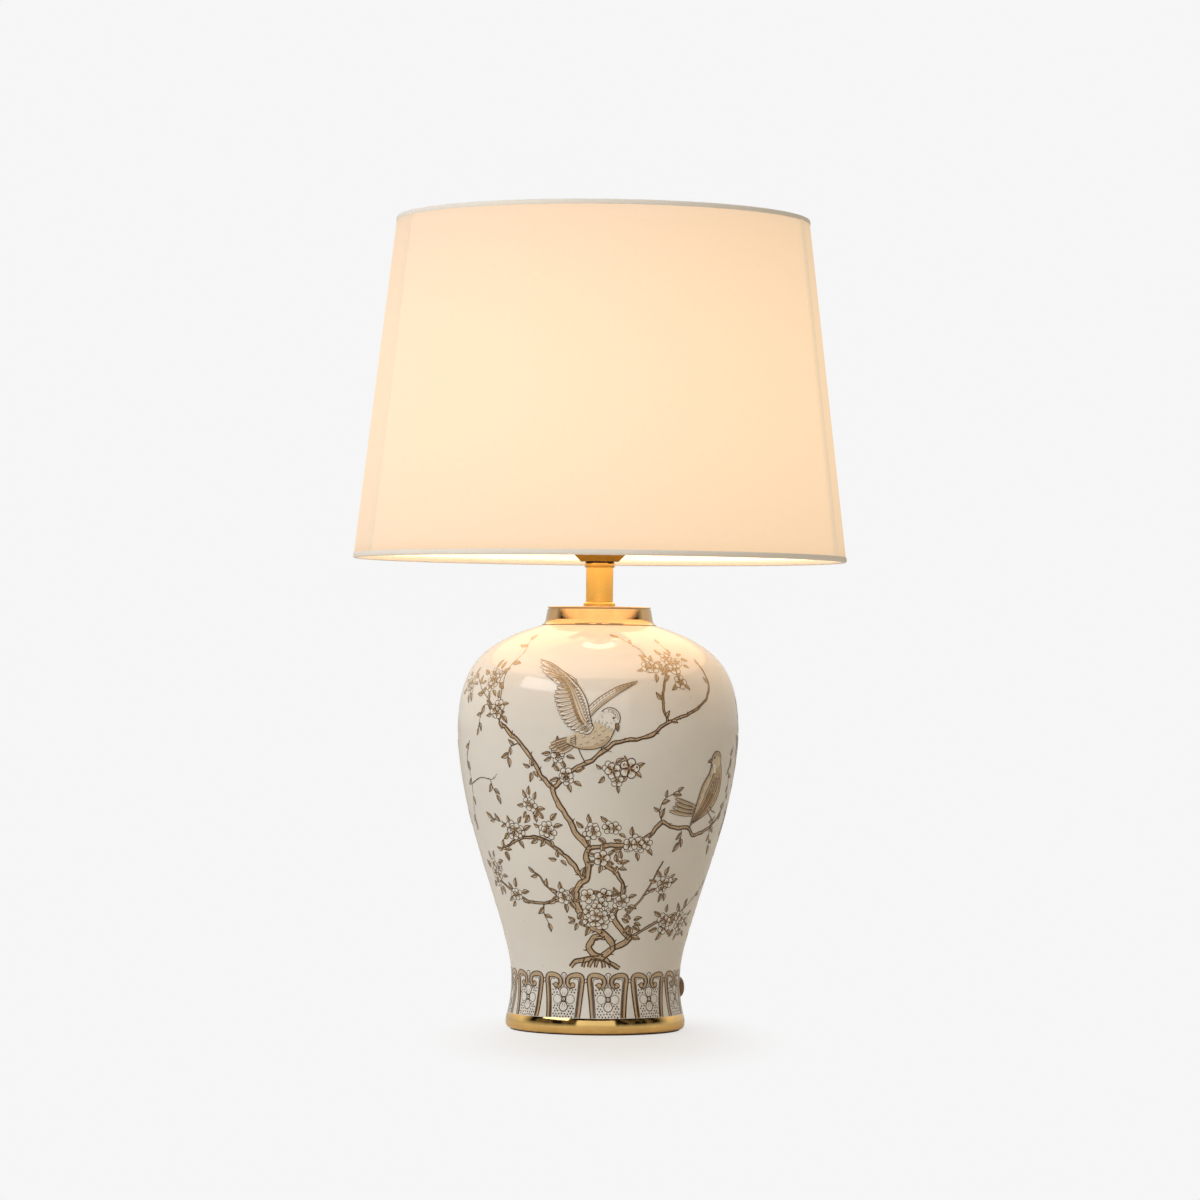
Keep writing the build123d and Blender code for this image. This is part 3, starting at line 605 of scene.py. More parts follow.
NODE_FINISHES: dict[Finish, tuple[str, ...]] = {
    FELT: ("base_felt",),
    BRASS_BASE: ("base_plinth",),
    STEEL: ("base_washer", "base_nut", "lamp_pipe", "switch_shaft", "shade_lower_ring"),
    GLAZE: ("ceramic_jar",),
    BROWN_PLASTIC: ("cord_gland", "cord_gland_nut"),
    BRASS_CAP: ("vase_cap",),
    BRASS_NECK: ("neck_collar_lower", "neck_tube"),
    BRASS_COLLAR: ("neck_collar_upper",),
    SHADOW_STEEL: ("saddle_washer",),
    BRASS_SHADED: ("harp_saddle", "socket_cap"),
    BRASS: (
        "socket_shell", "terminal_screws", "centre_contact", "harp_stud",
        "harp_ferrule_right", "harp_ferrule_left", "finial",
    ),
    FIBRE: ("socket_sleeve",),
    BLACK_PLASTIC: ("socket_interior", "switch_knob", "bulb_insulator"),
    ALUMINIUM: ("screw_shell", "bulb_contact", "bulb_cap"),
    OPAL: ("bulb_glass",),
    BRASS_SATIN: ("harp_wire", "shade_spider"),
    LINING: ("shade_lining",),
}


def dress_nodes() -> None:
    """Give the CAD nodes their finishes."""
    for finish, names in NODE_FINISHES.items():
        for name in names:
            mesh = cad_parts[name].data
            mesh.materials.clear()
            mesh.materials.append(finish.material())
        LOG.info("%s: %s", finish.name, ", ".join(names))


@dataclass
class JarSurface:
    """The jar's outer face as the CAD draws it, measured by angle and by length along its side."""

    foot: Point = (63.1, 12.0)
    waist: Point = (60.4, 36.0)
    belly: Point = (100.9, 216.2)
    ledge: Point = (41.7, 289.7)
    foot_flare: float = 1.6
    foot_shares: Point = (0.25, 0.6)
    waist_pull: float = 38.0
    belly_pull: float = 67.0
    shoulder_pull: float = 45.0
    ledge_pull: float = 40.3
    ledge_slope: float = 0.30
    samples: int = 400
    profile: Array = field(init=False)
    length: Array = field(init=False)

    def __post_init__(self) -> None:
        """Sample the foot, the side and the shoulder as Bezier curves, and their length."""
        rise = self.waist[1] - self.foot[1]
        low, high = (self.foot[1] + rise * share for share in self.foot_shares)
        foot = (self.foot, (self.foot[0] - self.foot_flare, low), (self.waist[0], high), self.waist)
        side = (
            self.waist,
            (self.waist[0], self.waist[1] + self.waist_pull),
            (self.belly[0], self.belly[1] - self.belly_pull),
            self.belly,
        )
        shoulder = (
            self.belly,
            (self.belly[0], self.belly[1] + self.shoulder_pull),
            (self.ledge[0] + self.ledge_pull, self.ledge[1] - self.ledge_pull * self.ledge_slope),
            self.ledge,
        )
        runs = [bezier(*handles, count=self.samples) for handles in (foot, side, shoulder)]
        self.profile = np.vstack([runs[0], *(run[1:] for run in runs[1:])])
        steps = np.linalg.norm(np.diff(self.profile, axis=0), axis=1)
        self.length = np.concatenate([[0.0], np.cumsum(steps)])

    def along(self, height: Union[float, Array]) -> Array:
        """Return the length along the side at a height."""
        return np.interp(height, self.profile[:, 1], self.length)

    def radius(self, along: Array) -> Array:
        """Return the radius at a length along the side."""
        return np.interp(along, self.length, self.profile[:, 0])

    def normal(self, angle: Array, along: Array) -> Array:
        """Return the outward normal: the profile's tangent turned by a right angle.

        Args:
            angle: Angle from the front towards +X, in radians.
            along: Length along the side from the foot.

        Returns:
            Normals of length 1, with a last axis of 3.
        """
        slope = np.gradient(self.profile, self.length, axis=0)
        out = np.interp(along, self.length, slope[:, 1])
        up = -np.interp(along, self.length, slope[:, 0])
        size = np.hypot(out, up)
        return round_axis(out / size, angle, up / size)

    def point(self, angle: Array, along: Array, lift: Union[float, Array]) -> Array:
        """Return the place at an angle and a length along the side, lifted off the glaze.

        Args:
            angle: Angle from the front towards +X, in radians.
            along: Length along the side from the foot.
            lift: Height over the glaze.

        Returns:
            Places in millimetres, with a last axis of 3.
        """
        height = np.interp(along, self.length, self.profile[:, 1])
        glaze = round_axis(self.radius(along), angle, height)
        return glaze + self.normal(angle, along) * np.asarray(lift)[..., None]

    def shift(self, angle: Array, along: Array, right: Array, up: Array) -> tuple[Array, Array]:
        """Return the angle and length reached by going right and up on the surface, in millimetres."""
        reached = along + up
        return angle + right / self.radius(reached), reached


@dataclass
class Places:
    """Where copies of a motif go: angle, length along the side, turn in radians, size and lift."""

    angle: Array
    along: Array
    turn: Array
    size: Array
    lift: Array

    def some(self, chosen: Union[slice, Array]) -> "Places":
        """Return the chosen places alone."""
        return Places(*(v[chosen] for v in (self.angle, self.along, self.turn, self.size, self.lift)))


@dataclass(frozen=True)
class Blade:
    """The form of a leaf, petal or feather along its middle line, with the width of its outline.

    Below 1, fullness moves the widest place towards the root, and blunt makes the ends round.
    """

    width: float
    fullness: float
    blunt: float
    bend: float
    stroke: float
    rows: int


class Motif:
    """A small flat drawing in millimetres: quads for each ink, each laid just over the one before."""

    LAYER = 0.0015
    BLADE_CUT = 0.03
    DISC_CUT = 0.12
    SHORTEST = 1e-9

    def __init__(self) -> None:
        """Start with nothing drawn."""
        self.parts: dict[Ink, list[tuple[Array, float, Array]]] = {ink: [] for ink in Ink}
        self.layers = 0

    def grid(self, ink: Ink, points: Array, closed: bool = False) -> None:
        """Draw a grid of points, with its faces outwards.

        Args:
            ink: Colour of the grid.
            points: Places, (rows, columns, 2).
            closed: Join the last row to the first.
        """
        across, along = points[0, -1] - points[0, 0], points[1, 0] - points[0, 0]
        if across[0] * along[1] - across[1] * along[0] < 0.0:
            points = points[:, ::-1]
        faces = grid_faces(points.shape[0], points.shape[1], wrap_rows=closed)
        self.parts[ink].append((points.reshape(-1, 2), self.layers * self.LAYER, faces))
        self.layers += 1

    def line(
        self, path: Sequence[Point], width: Union[float, Array], ink: Ink = Ink.LINE, closed: bool = False
    ) -> None:
        """Draw a ribbon: the path moved half its width to both sides.

        Args:
            path: Places along the line, (n, 2).
            width: Width of the line, or its width at each place.
            ink: Colour of the line.
            closed: Join the end of the line to its start.
        """
        path = np.asarray(path, float)
        ring = np.vstack([path[-1:], path, path[:1]]) if closed else path
        way = np.gradient(ring, axis=0)
        way = way[1:-1] if closed else way
        way = way / np.maximum(np.linalg.norm(way, axis=1, keepdims=True), self.SHORTEST)
        half = 0.5 * np.broadcast_to(width, len(path))[:, None]
        side = np.stack([-way[:, 1], way[:, 0]], axis=1) * half
        self.grid(ink, np.stack([path + side, path - side], axis=1), closed)

    def blade(self, fill: Ink, start: Point, end: Point, form: Blade) -> tuple[Array, Array]:
        """Draw an outlined blade: half width is w / 2 (sin(pi t^fullness))^blunt along its line.

        Args:
            fill: Colour of the blade.
            start: Root of the blade.
            end: Tip of the blade.
            form: Its form.

        Returns:
            The middle line and the half widths, (rows, 2) each.
        """
        root, tip = np.array(start, float), np.array(end, float)
        way = tip - root
        side = np.array([-way[1], way[0]]) / np.linalg.norm(way)
        t = np.linspace(self.BLADE_CUT, 1.0 - self.BLADE_CUT, form.rows)[:, None]
        middle = root + way * t + side * form.bend * np.sin(np.pi * t)
        half = side * 0.5 * form.width * np.sin(np.pi * t**form.fullness) ** form.blunt
        self.grid(fill, np.stack([middle + half, middle - half], axis=1))
        self.line(np.vstack([middle + half, (middle - half)[::-1]]), form.stroke, closed=True)
        return middle, half

    def patch(
        self, fill: Ink, first: Sequence[Point], second: Sequence[Point], stroke: float = 0.0, rows: int = 16
    ) -> tuple[Array, Array]:
        """Draw a form between two edges, each a smooth curve through its places.

        Args:
            fill: Colour of the form.
            first: Places on one edge.
            second: Places on the other edge, from the same end.
            stroke: Width of the lines along both edges, or 0 for none.
            rows: Places along each edge.

        Returns:
            The two edges, (rows, 2) each.
        """
        edges = spline(first, rows), spline(second, rows)
        self.grid(fill, np.stack(edges, axis=1))
        if stroke > 0.0:
            for edge in edges:
                self.line(edge, stroke)
        return edges

    def band(self, ink: Ink, edges: tuple[Array, Array], shares: Point, rows: slice) -> None:
        """Fill part of a form between two shares of the way from its first edge to its second.

        Args:
            ink: Colour of the band.
            edges: The form's two edges.
            shares: Shares of the way for the band's two sides.
            rows: Which places along the edges to take.
        """
        sides = [edges[0] * (1.0 - share) + edges[1] * share for share in shares]
        self.grid(ink, np.stack(sides, axis=1)[rows])

    def strands(self, edges: tuple[Array, Array], shares: Sequence[float], width: float) -> None:
        """Draw fine lines along a form, each at a share of the way from its first edge to its second.

        Args:
            edges: The form's two edges.
            shares: Shares of the way.
            width: Width of the lines.
        """
        for share in shares:
            path = edges[0] + (edges[1] - edges[0]) * share
            self.line(path[1:-1], width)

    def disc(self, ink: Ink, centre: Point, radius: float, rows: int) -> None:
        """Draw a filled round: half width is r sin a at the height -r cos a.

        Args:
            ink: Colour of the round.
            centre: Its middle.
            radius: Its radius.
            rows: Places from its bottom to its top.
        """
        a = np.linspace(self.DISC_CUT * np.pi, (1.0 - self.DISC_CUT) * np.pi, rows)
        x, y = radius * np.sin(a), -radius * np.cos(a)
        sides = np.stack([np.stack([-x, y], axis=1), np.stack([x, y], axis=1)], axis=1)
        self.grid(ink, sides + np.array(centre))

    def ring(self, centre: Point, radius: float, width: float, sides: int) -> None:
        """Draw a closed round line."""
        path = radius * on_circle(turns(sides)) + np.array(centre)
        self.line(path, width, closed=True)


class Drawing:
    """Everything printed on the jar, gathered by ink and laid on its surface."""

    def __init__(self, surface: JarSurface) -> None:
        """Start with a bare jar.

        Args:
            surface: The jar's face.
        """
        self.surface = surface
        self.points: dict[Ink, list[Array]] = {ink: [] for ink in Ink}
        self.faces: dict[Ink, list[Array]] = {ink: [] for ink in Ink}
        self.count: dict[Ink, int] = {ink: 0 for ink in Ink}

    def add(self, ink: Ink, points: Array, faces: Array) -> None:
        """Keep some points and quads in an ink.

        Args:
            ink: Colour of the quads.
            points: Places, with a last axis of 3.
            faces: Point numbers of the quads, with a last axis of 4.
        """
        self.points[ink].append(points.reshape(-1, 3))
        self.faces[ink].append(faces.reshape(-1, 4) + self.count[ink])
        self.count[ink] += points.size // 3

    def stamp(self, motif: Motif, places: Places) -> None:
        """Print copies of a motif: each is turned, sized and wrapped on the surface.

        Args:
            motif: What to print.
            places: Where the copies go.
        """
        cos, sin = ((places.size * f(places.turn))[:, None] for f in (np.cos, np.sin))
        start, base, lift = (v[:, None] for v in (places.angle, places.along, places.lift))
        for ink, parts in motif.parts.items():
            for flat, rise, faces in parts:
                x, y = flat[None, :, 0], flat[None, :, 1]
                angle, along = self.surface.shift(start, base, cos * x - sin * y, sin * x + cos * y)
                points = self.surface.point(angle, along, lift + rise)
                firsts = np.arange(len(start))[:, None, None] * len(flat)
                self.add(ink, points, faces[None] + firsts)

    def stroke(
        self, ink: Ink, angle: Array, along: Array, width: Array, lift: float, offset: Union[float, Array]
    ) -> None:
        """Print a ribbon along a line on the surface: the line moved across itself by its half width.

        Args:
            ink: Colour of the ribbon.
            angle: Angles along the line.
            along: Lengths along the side at the same places.
            width: Widths at the same places.
            lift: Height over the glaze.
            offset: How far the ribbon's middle lies to the left of the line.
        """
        middle = self.surface.point(angle, along, lift)
        left = np.cross(self.surface.normal(angle, along), np.gradient(middle, axis=0))
        left = left / np.linalg.norm(left, axis=1, keepdims=True)
        edges = [middle + left * (offset + k * 0.5 * width)[:, None] for k in (1.0, -1.0)]
        self.add(ink, np.stack(edges, axis=1), grid_faces(len(angle), 2))

    def pieces(self) -> list[Piece]:
        """Make one piece for each ink.

        Returns:
            The new pieces.
        """
        made = []
        for ink in Ink:
            points, faces = np.vstack(self.points[ink]), np.vstack(self.faces[ink])
            piece = make_piece(ink.value.name, points, faces, ink.value, "lamp")
            made.append(piece)
        return made


@dataclass(frozen=True)
class Branch:
    """A branch: places (degrees from the front, height), width at both ends, and how leafy it is."""

    places: tuple[Point, ...]
    thick: float
    thin: float
    leafy: float = 0.0


@dataclass(frozen=True)
class Cluster:
    """A bunch at a place: how many blossoms, how far they spread right and up, and how many leaves."""

    place: Point
    blossoms: int
    spread: Point
    leaves: int = 6
    size: float = 0.9


class Blossom(Motif):
    """An open flower of five round petals, about 6.3 mm in radius."""

    PETAL_REACH = 3.7
    PETAL_ROOT = 0.72
    STAMEN_START = 1.2
    STAMEN_ENDS = (2.6, 3.3)
    HEART: Point = (0.0, 0.0)

    def __init__(self) -> None:
        """Draw the petals with their tinted roots, the stamens, and the heart."""
        super().__init__()
        for way in on_circle(turns(5)):
            centre = self.PETAL_REACH * way
            self.disc(Ink.WHITE, centre, 2.7, 5)
            self.ring(centre, 2.6, 0.66, 10)
            self.disc(Ink.WASH, centre * self.PETAL_ROOT, 1.2, 3)
        for way, end in zip(on_circle(turns(10) + np.pi / 10), self.STAMEN_ENDS * 5):
            self.line([way * self.STAMEN_START, way * end], 0.4)
        self.disc(Ink.LEAF, self.HEART, 1.5, 4)
        self.ring(self.HEART, 1.3, 0.5, 8)


class Bud(Motif):
    """A half open flower of three petals on a dark cup, upright."""

    CUP = Blade(width=3.0, fullness=1.0, blunt=0.8, bend=0.0, stroke=0.5, rows=4)

    def __init__(self) -> None:
        """Draw the petals and the cup over their roots."""
        super().__init__()
        for centre in ((-1.9, 2.4), (1.9, 2.4), (0.0, 3.4)):
            self.disc(Ink.WHITE, centre, 2.1, 5)
            self.ring(centre, 2.0, 0.6, 10)
        self.blade(Ink.LEAF, (0.0, -1.8), (0.0, 1.8), self.CUP)


class Leaf(Motif):
    """A pointed leaf along +x, about 8 mm long."""

    FORM = Blade(width=3.7, fullness=0.74, blunt=1.2, bend=0.7, stroke=0.72, rows=8)
    TIP: Point = (8.6, 0.0)

    def __init__(self) -> None:
        """Draw the leaf with one half shaded and a vein."""
        super().__init__()
        middle, half = self.blade(Ink.WASH, (0.0, 0.0), self.TIP, self.FORM)
        self.grid(Ink.LEAF, np.stack([middle, middle - half], axis=1))
        self.line(middle, np.linspace(0.9, 0.4, len(middle)))


class Thorn(Motif):
    """A short thorn along +x."""

    def __init__(self) -> None:
        """Draw a line that narrows to a point."""
        super().__init__()
        self.line([(-0.4, 0.0), (1.2, 0.2), (2.8, 0.1)], np.array([1.5, 0.9, 0.3]))


class BarkMark(Motif):
    """A short mark in the bark along +x."""

    def __init__(self) -> None:
        """Draw a bowed line that is thin at both ends."""
        super().__init__()
        self.line([(-1.3, 0.0), (0.0, 0.25), (1.3, 0.0)], np.array([0.15, 0.42, 0.15]))


class BirdMotif(Motif):
    """The flat drawing of a bird, in millimetres, with its feathers, head and marks."""

    BEAK = Blade(width=2.8, fullness=0.7, blunt=0.9, bend=0.3, stroke=0.5, rows=5)
    FEATHER_SHADE = 0.45
    HATCH_BOW = 0.12
    HATCH_END = 0.15
    CROWN_LINES = ((1.0, 0.7, 0.0), (0.8, 0.32, 0.7), (0.6, 0.32, 1.0))

    def feathers(
        self,
        roots: Sequence[Point],
        tips: Sequence[Point],
        count: int,
        width: float,
        fill: Ink = Ink.WHITE,
        shade: Ink = Ink.BARK,
    ) -> None:
        """Draw a row of feathers from a line of roots to a line of tips, each with a shaded half.

        Args:
            roots: Places that the line of roots passes through.
            tips: Places that the line of tips passes through.
            count: Number of feathers.
            width: Width of a feather.
            fill: Colour of the light half.
            shade: Colour of the shaded half.
        """
        form = Blade(width, fullness=1.3, blunt=0.5, bend=0.5, stroke=0.5, rows=7)
        for root, tip in zip(spline(roots, count), spline(tips, count)):
            middle, half = self.blade(fill, root, tip, form)
            self.grid(shade, np.stack([middle - half * self.FEATHER_SHADE, middle - half], axis=1)[1:])
            self.line(middle[1:-1], 0.3)

    def hatch(self, starts: Sequence[Point], step: Point, width: float = 0.36) -> None:
        """Draw short curved marks, each from a place by the same step.

        Args:
            starts: Where the marks begin.
            step: How far they go.
            width: Width at the middle of a mark.
        """
        reach, bow = np.array(step), np.array([-step[1] * self.HATCH_BOW, 0.0])
        widths = np.array([self.HATCH_END, width, self.HATCH_END])
        for start in np.array(starts, float):
            self.line([start, start + reach * 0.5 + bow, start + reach], widths)

    def head(self, centre: Point, radius: float, fill: Ink, start: float, end: float) -> None:
        """Draw a round head with an open outline from one angle to another and lines over the crown.

        Args:
            centre: Middle of the head.
            radius: Its radius.
            fill: Its colour.
            start: First angle of the outline, in radians.
            end: Last angle of the outline.
        """
        self.disc(fill, centre, radius, 9)
        for share, width, trim in self.CROWN_LINES:
            a = np.linspace(start + trim, end - trim, 16)
            self.line(radius * share * on_circle(a) + np.array(centre), width)


class FlyingBird(BirdMotif):
    """A small bird that alights with both wings raised, about 65 mm high."""

    def __init__(self) -> None:
        """Draw the bird from what lies behind to what lies in front."""
        super().__init__()
        self.legs()
        self.far_wing()
        self.body()
        self.face()
        self.near_wing()

    def legs(self) -> None:
        """Draw two legs with their toes."""
        hind = ((-13.0, -10.0), (-11.0, -15.0), (-8.0, -20.5))
        fore = ((4.0, -9.0), (6.0, -11.0), (8.5, -12.0))
        for leg in (hind, fore):
            self.line(leg, 0.65)
            x, y = leg[-1]
            self.hatch(((x - 1.8, y), (x, y - 0.5)), (2.4, -0.6), 0.5)

    def far_wing(self) -> None:
        """Draw the wing behind the head, pale along its front edge."""
        edges = self.patch(
            Ink.WASH,
            ((-7.0, 17.0), (-2.0, 22.0), (4.0, 26.8), (15.0, 33.2), (28.5, 37.2)),
            ((-7.5, 8.5), (-3.0, 13.0), (2.5, 18.5), (13.5, 26.8), (28.0, 36.0)),
            0.6,
        )
        self.band(Ink.WHITE, edges, (0.15, 0.6), slice(1, 10))
        self.strands(edges, (0.3, 0.55, 0.8), 0.32)
        self.hatch(edges[0][2:15], (1.0, -2.4), 0.45)

    def body(self) -> None:
        """Draw the tail and a tinted body with a darker belly, a hatched breast and small feathers."""
        tail_tips = ((-33.0, -8.0), (-34.0, -11.5), (-26.5, -14.5))
        self.feathers(((-14.0, -1.8), (-14.0, -7.0)), tail_tips, 5, 3.4, Ink.WASH, Ink.LEAF)
        below = ((-21.0, -7.5), (-11.0, -11.2), (0.0, -10.8), (8.0, -6.5))
        back = ((-21.0, -3.0), (-12.0, 2.0), (-4.0, 7.0), (3.0, 12.0), (8.0, 16.0))
        edges = self.patch(Ink.WHITE, back, (*below, (13.0, 4.0)))
        breast = ((-5.0, 5.6), (1.0, 7.4), (6.5, 5.6), (10.0, 2.4), (12.4, 1.6))
        self.patch(Ink.WASH, ((-21.0, -3.2), (-12.0, 1.6), *breast), (*below, (12.4, 1.2)))
        self.band(Ink.BARK, edges, (0.86, 1.0), slice(13))
        rim = ((-1.5, 6.6), (1.2, 6.9), (3.6, 6.3), (6.0, 5.2), (8.2, 3.4), (10.2, 1.8))
        self.hatch(rim, (0.9, 2.0))
        self.line(edges[1], 0.65)
        low_marks = ((6.0, 2.0), (3.0, -1.0), (8.5, -2.0), (5.0, -4.5), (-1.0, -3.0), (1.0, -7.0))
        self.hatch((*low_marks, (-5.0, -6.0), (-10.0, -7.5)), (-2.6, -1.0))
        high_marks = ((4.0, 5.0), (0.0, 2.0), (-4.0, 0.5), (-8.0, -2.0), (-13.0, -3.0))
        self.hatch(high_marks, (-2.0, -1.6), 0.3)

    def face(self) -> None:
        """Draw the white head with its cheek and crown marks, the beak and the eye."""
        self.head((9.0, 10.6), 7.2, Ink.WHITE, -0.9, 2.5)
        cheek = ((13.2, 13.0), (13.8, 10.6), (13.2, 8.2), (11.0, 6.6), (8.0, 7.0))
        self.hatch(cheek, (-1.8, 0.8), 0.32)
        crown = ((4.0, 16.4), (7.4, 16.8), (10.6, 16.0), (3.0, 13.0), (5.0, 6.0))
        self.hatch(crown, (0.9, -2.6), 0.32)
        self.blade(Ink.LEAF, (13.4, 7.2), (14.6, 1.2), self.BEAK)
        self.disc(Ink.LINE, (11.6, 10.6), 0.8, 4)

    def near_wing(self) -> None:
        """Draw the raised wing: long feathers at its tip, shorter ones below, and its covered edge."""
        tips = ((-42.0, 52.5), (-41.5, 47.0), (-37.5, 42.0), (-30.5, 36.5))
        self.feathers(((-14.0, 37.0), (-11.0, 30.0)), tips, 6, 4.0)
        roots = ((-12.0, 31.0), (-8.0, 22.0), (-5.0, 12.0), (-2.0, 5.0))
        tips = ((-29.0, 32.0), (-31.0, 25.5), (-29.5, 19.0), (-27.0, 12.5), (-23.0, 6.5), (-17.0, 1.5))
        self.feathers(roots, (*tips, (-9.0, -0.5)), 14, 3.5)
        front = ((-41.5, 53.6), (-33.0, 50.6), (-24.5, 44.2), (-17.0, 37.0), (-11.0, 30.0), (-7.0, 22.0))
        rear = ((-36.0, 48.6), (-29.5, 44.8), (-22.8, 37.4), (-18.5, 30.0), (-16.0, 22.5), (-13.5, 15.0))
        edges = self.patch(
            Ink.WHITE,
            (*front, (-5.0, 13.0), (-3.0, 5.0)),
            (*rear, (-10.0, 8.0), (-4.0, 3.0)),
            rows=22,
        )
        self.line(edges[0], 0.85)
        self.band(Ink.WASH, edges, (0.5, 1.0), slice(4, 20))
        self.grid(Ink.LEAF, np.stack([edges[1], edges[1] + np.array([-2.4, -0.5])], axis=1)[8:20])
        self.strands(edges, (0.3, 0.55, 0.78), 0.34)
        self.hatch(edges[1][5:21], (-2.8, -0.8), 0.4)


class PerchedBird(BirdMotif):
    """A small bird that sits upright with folded wings and looks left, about 60 mm long."""

    BEAK = Blade(width=2.6, fullness=0.7, blunt=0.9, bend=0.3, stroke=0.55, rows=5)

    def __init__(self) -> None:
        """Draw the bird from what lies behind to what lies in front."""
        super().__init__()
        self.legs_and_tail()
        self.body()
        self.wing()

    def legs_and_tail(self) -> None:
        """Draw two legs and the spread tail."""
        fore = ((1.0, -19.0), (5.0, -22.5), (11.0, -24.0))
        hind = ((-3.0, -21.0), (3.0, -25.0), (8.5, -29.0))
        for leg in (fore, hind):
            self.line(leg, 0.75)
        edges = self.patch(
            Ink.BARK,
            ((-13.0, -18.5), (-25.0, -18.5), (-34.0, -15.5)),
            ((-14.0, -26.0), (-27.0, -25.5), (-36.0, -22.0)),
        )
        self.strands(edges, (0.3, 0.5, 0.7), 0.55)
        tips = ((-37.0, -12.6), (-36.5, -17.0), (-40.0, -21.8))
        self.feathers(((-15.0, -18.6), (-15.0, -25.6)), tips, 4, 2.7, Ink.WASH, Ink.LEAF)

    def body(self) -> None:
        """Draw the body with a paler breast, the head with its throat, the beak and the eye."""
        edges = self.patch(
            Ink.BARK,
            ((-5.5, 11.0), (-6.5, 5.0), (-12.0, -3.0), (-14.5, -13.0), (-16.0, -24.0), (-17.0, -31.5)),
            ((7.0, 12.0), (9.5, 6.0), (11.5, -5.0), (9.0, -14.5), (0.0, -23.5), (-16.5, -32.0)),
            0.7,
        )
        self.band(Ink.WASH, edges, (0.07, 0.28), slice(1, 13))
        self.head((0.5, 14.2), 6.2, Ink.WASH, -0.4, 3.9)
        self.band(Ink.WHITE, edges, (0.18, 0.45), slice(3))
        self.blade(Ink.LEAF, (-5.0, 14.6), (-9.8, 12.8), self.BEAK)
        self.disc(Ink.LINE, (-2.2, 16.0), 0.9, 4)
        marks = ((-5.0, 4.0), (-8.5, -1.0), (-11.0, -6.0), (-12.5, -11.0), (-13.0, -16.0), (-8.0, -8.0))
        self.hatch(marks, (-0.6, -3.0))

    def wing(self) -> None:
        """Draw the folded wing with two dark bars, long lines and scales at its shoulder."""
        edges = self.patch(
            Ink.BARK,
            ((-1.0, 4.0), (-5.0, -4.0), (-8.5, -13.0), (-12.5, -22.0), (-17.5, -33.0)),
            ((6.5, 4.5), (9.0, -5.0), (5.0, -14.5), (-4.0, -23.5), (-17.0, -33.0)),
            0.55,
        )
        for shares in ((0.2, 0.42), (0.55, 0.77)):
            self.band(Ink.LEAF, edges, shares, slice(5, 15))
        self.strands(edges, (0.2, 0.42, 0.6, 0.8), 0.4)
        columns = ((-0.5, 0.45), (2.5, 0.3), (5.5, 0.2))
        scales = [(x + lean * y, y) for y in (2.0, -1.0, -4.0, -7.0) for x, lean in columns]
        self.hatch(scales, (1.8, -2.0), 0.45)


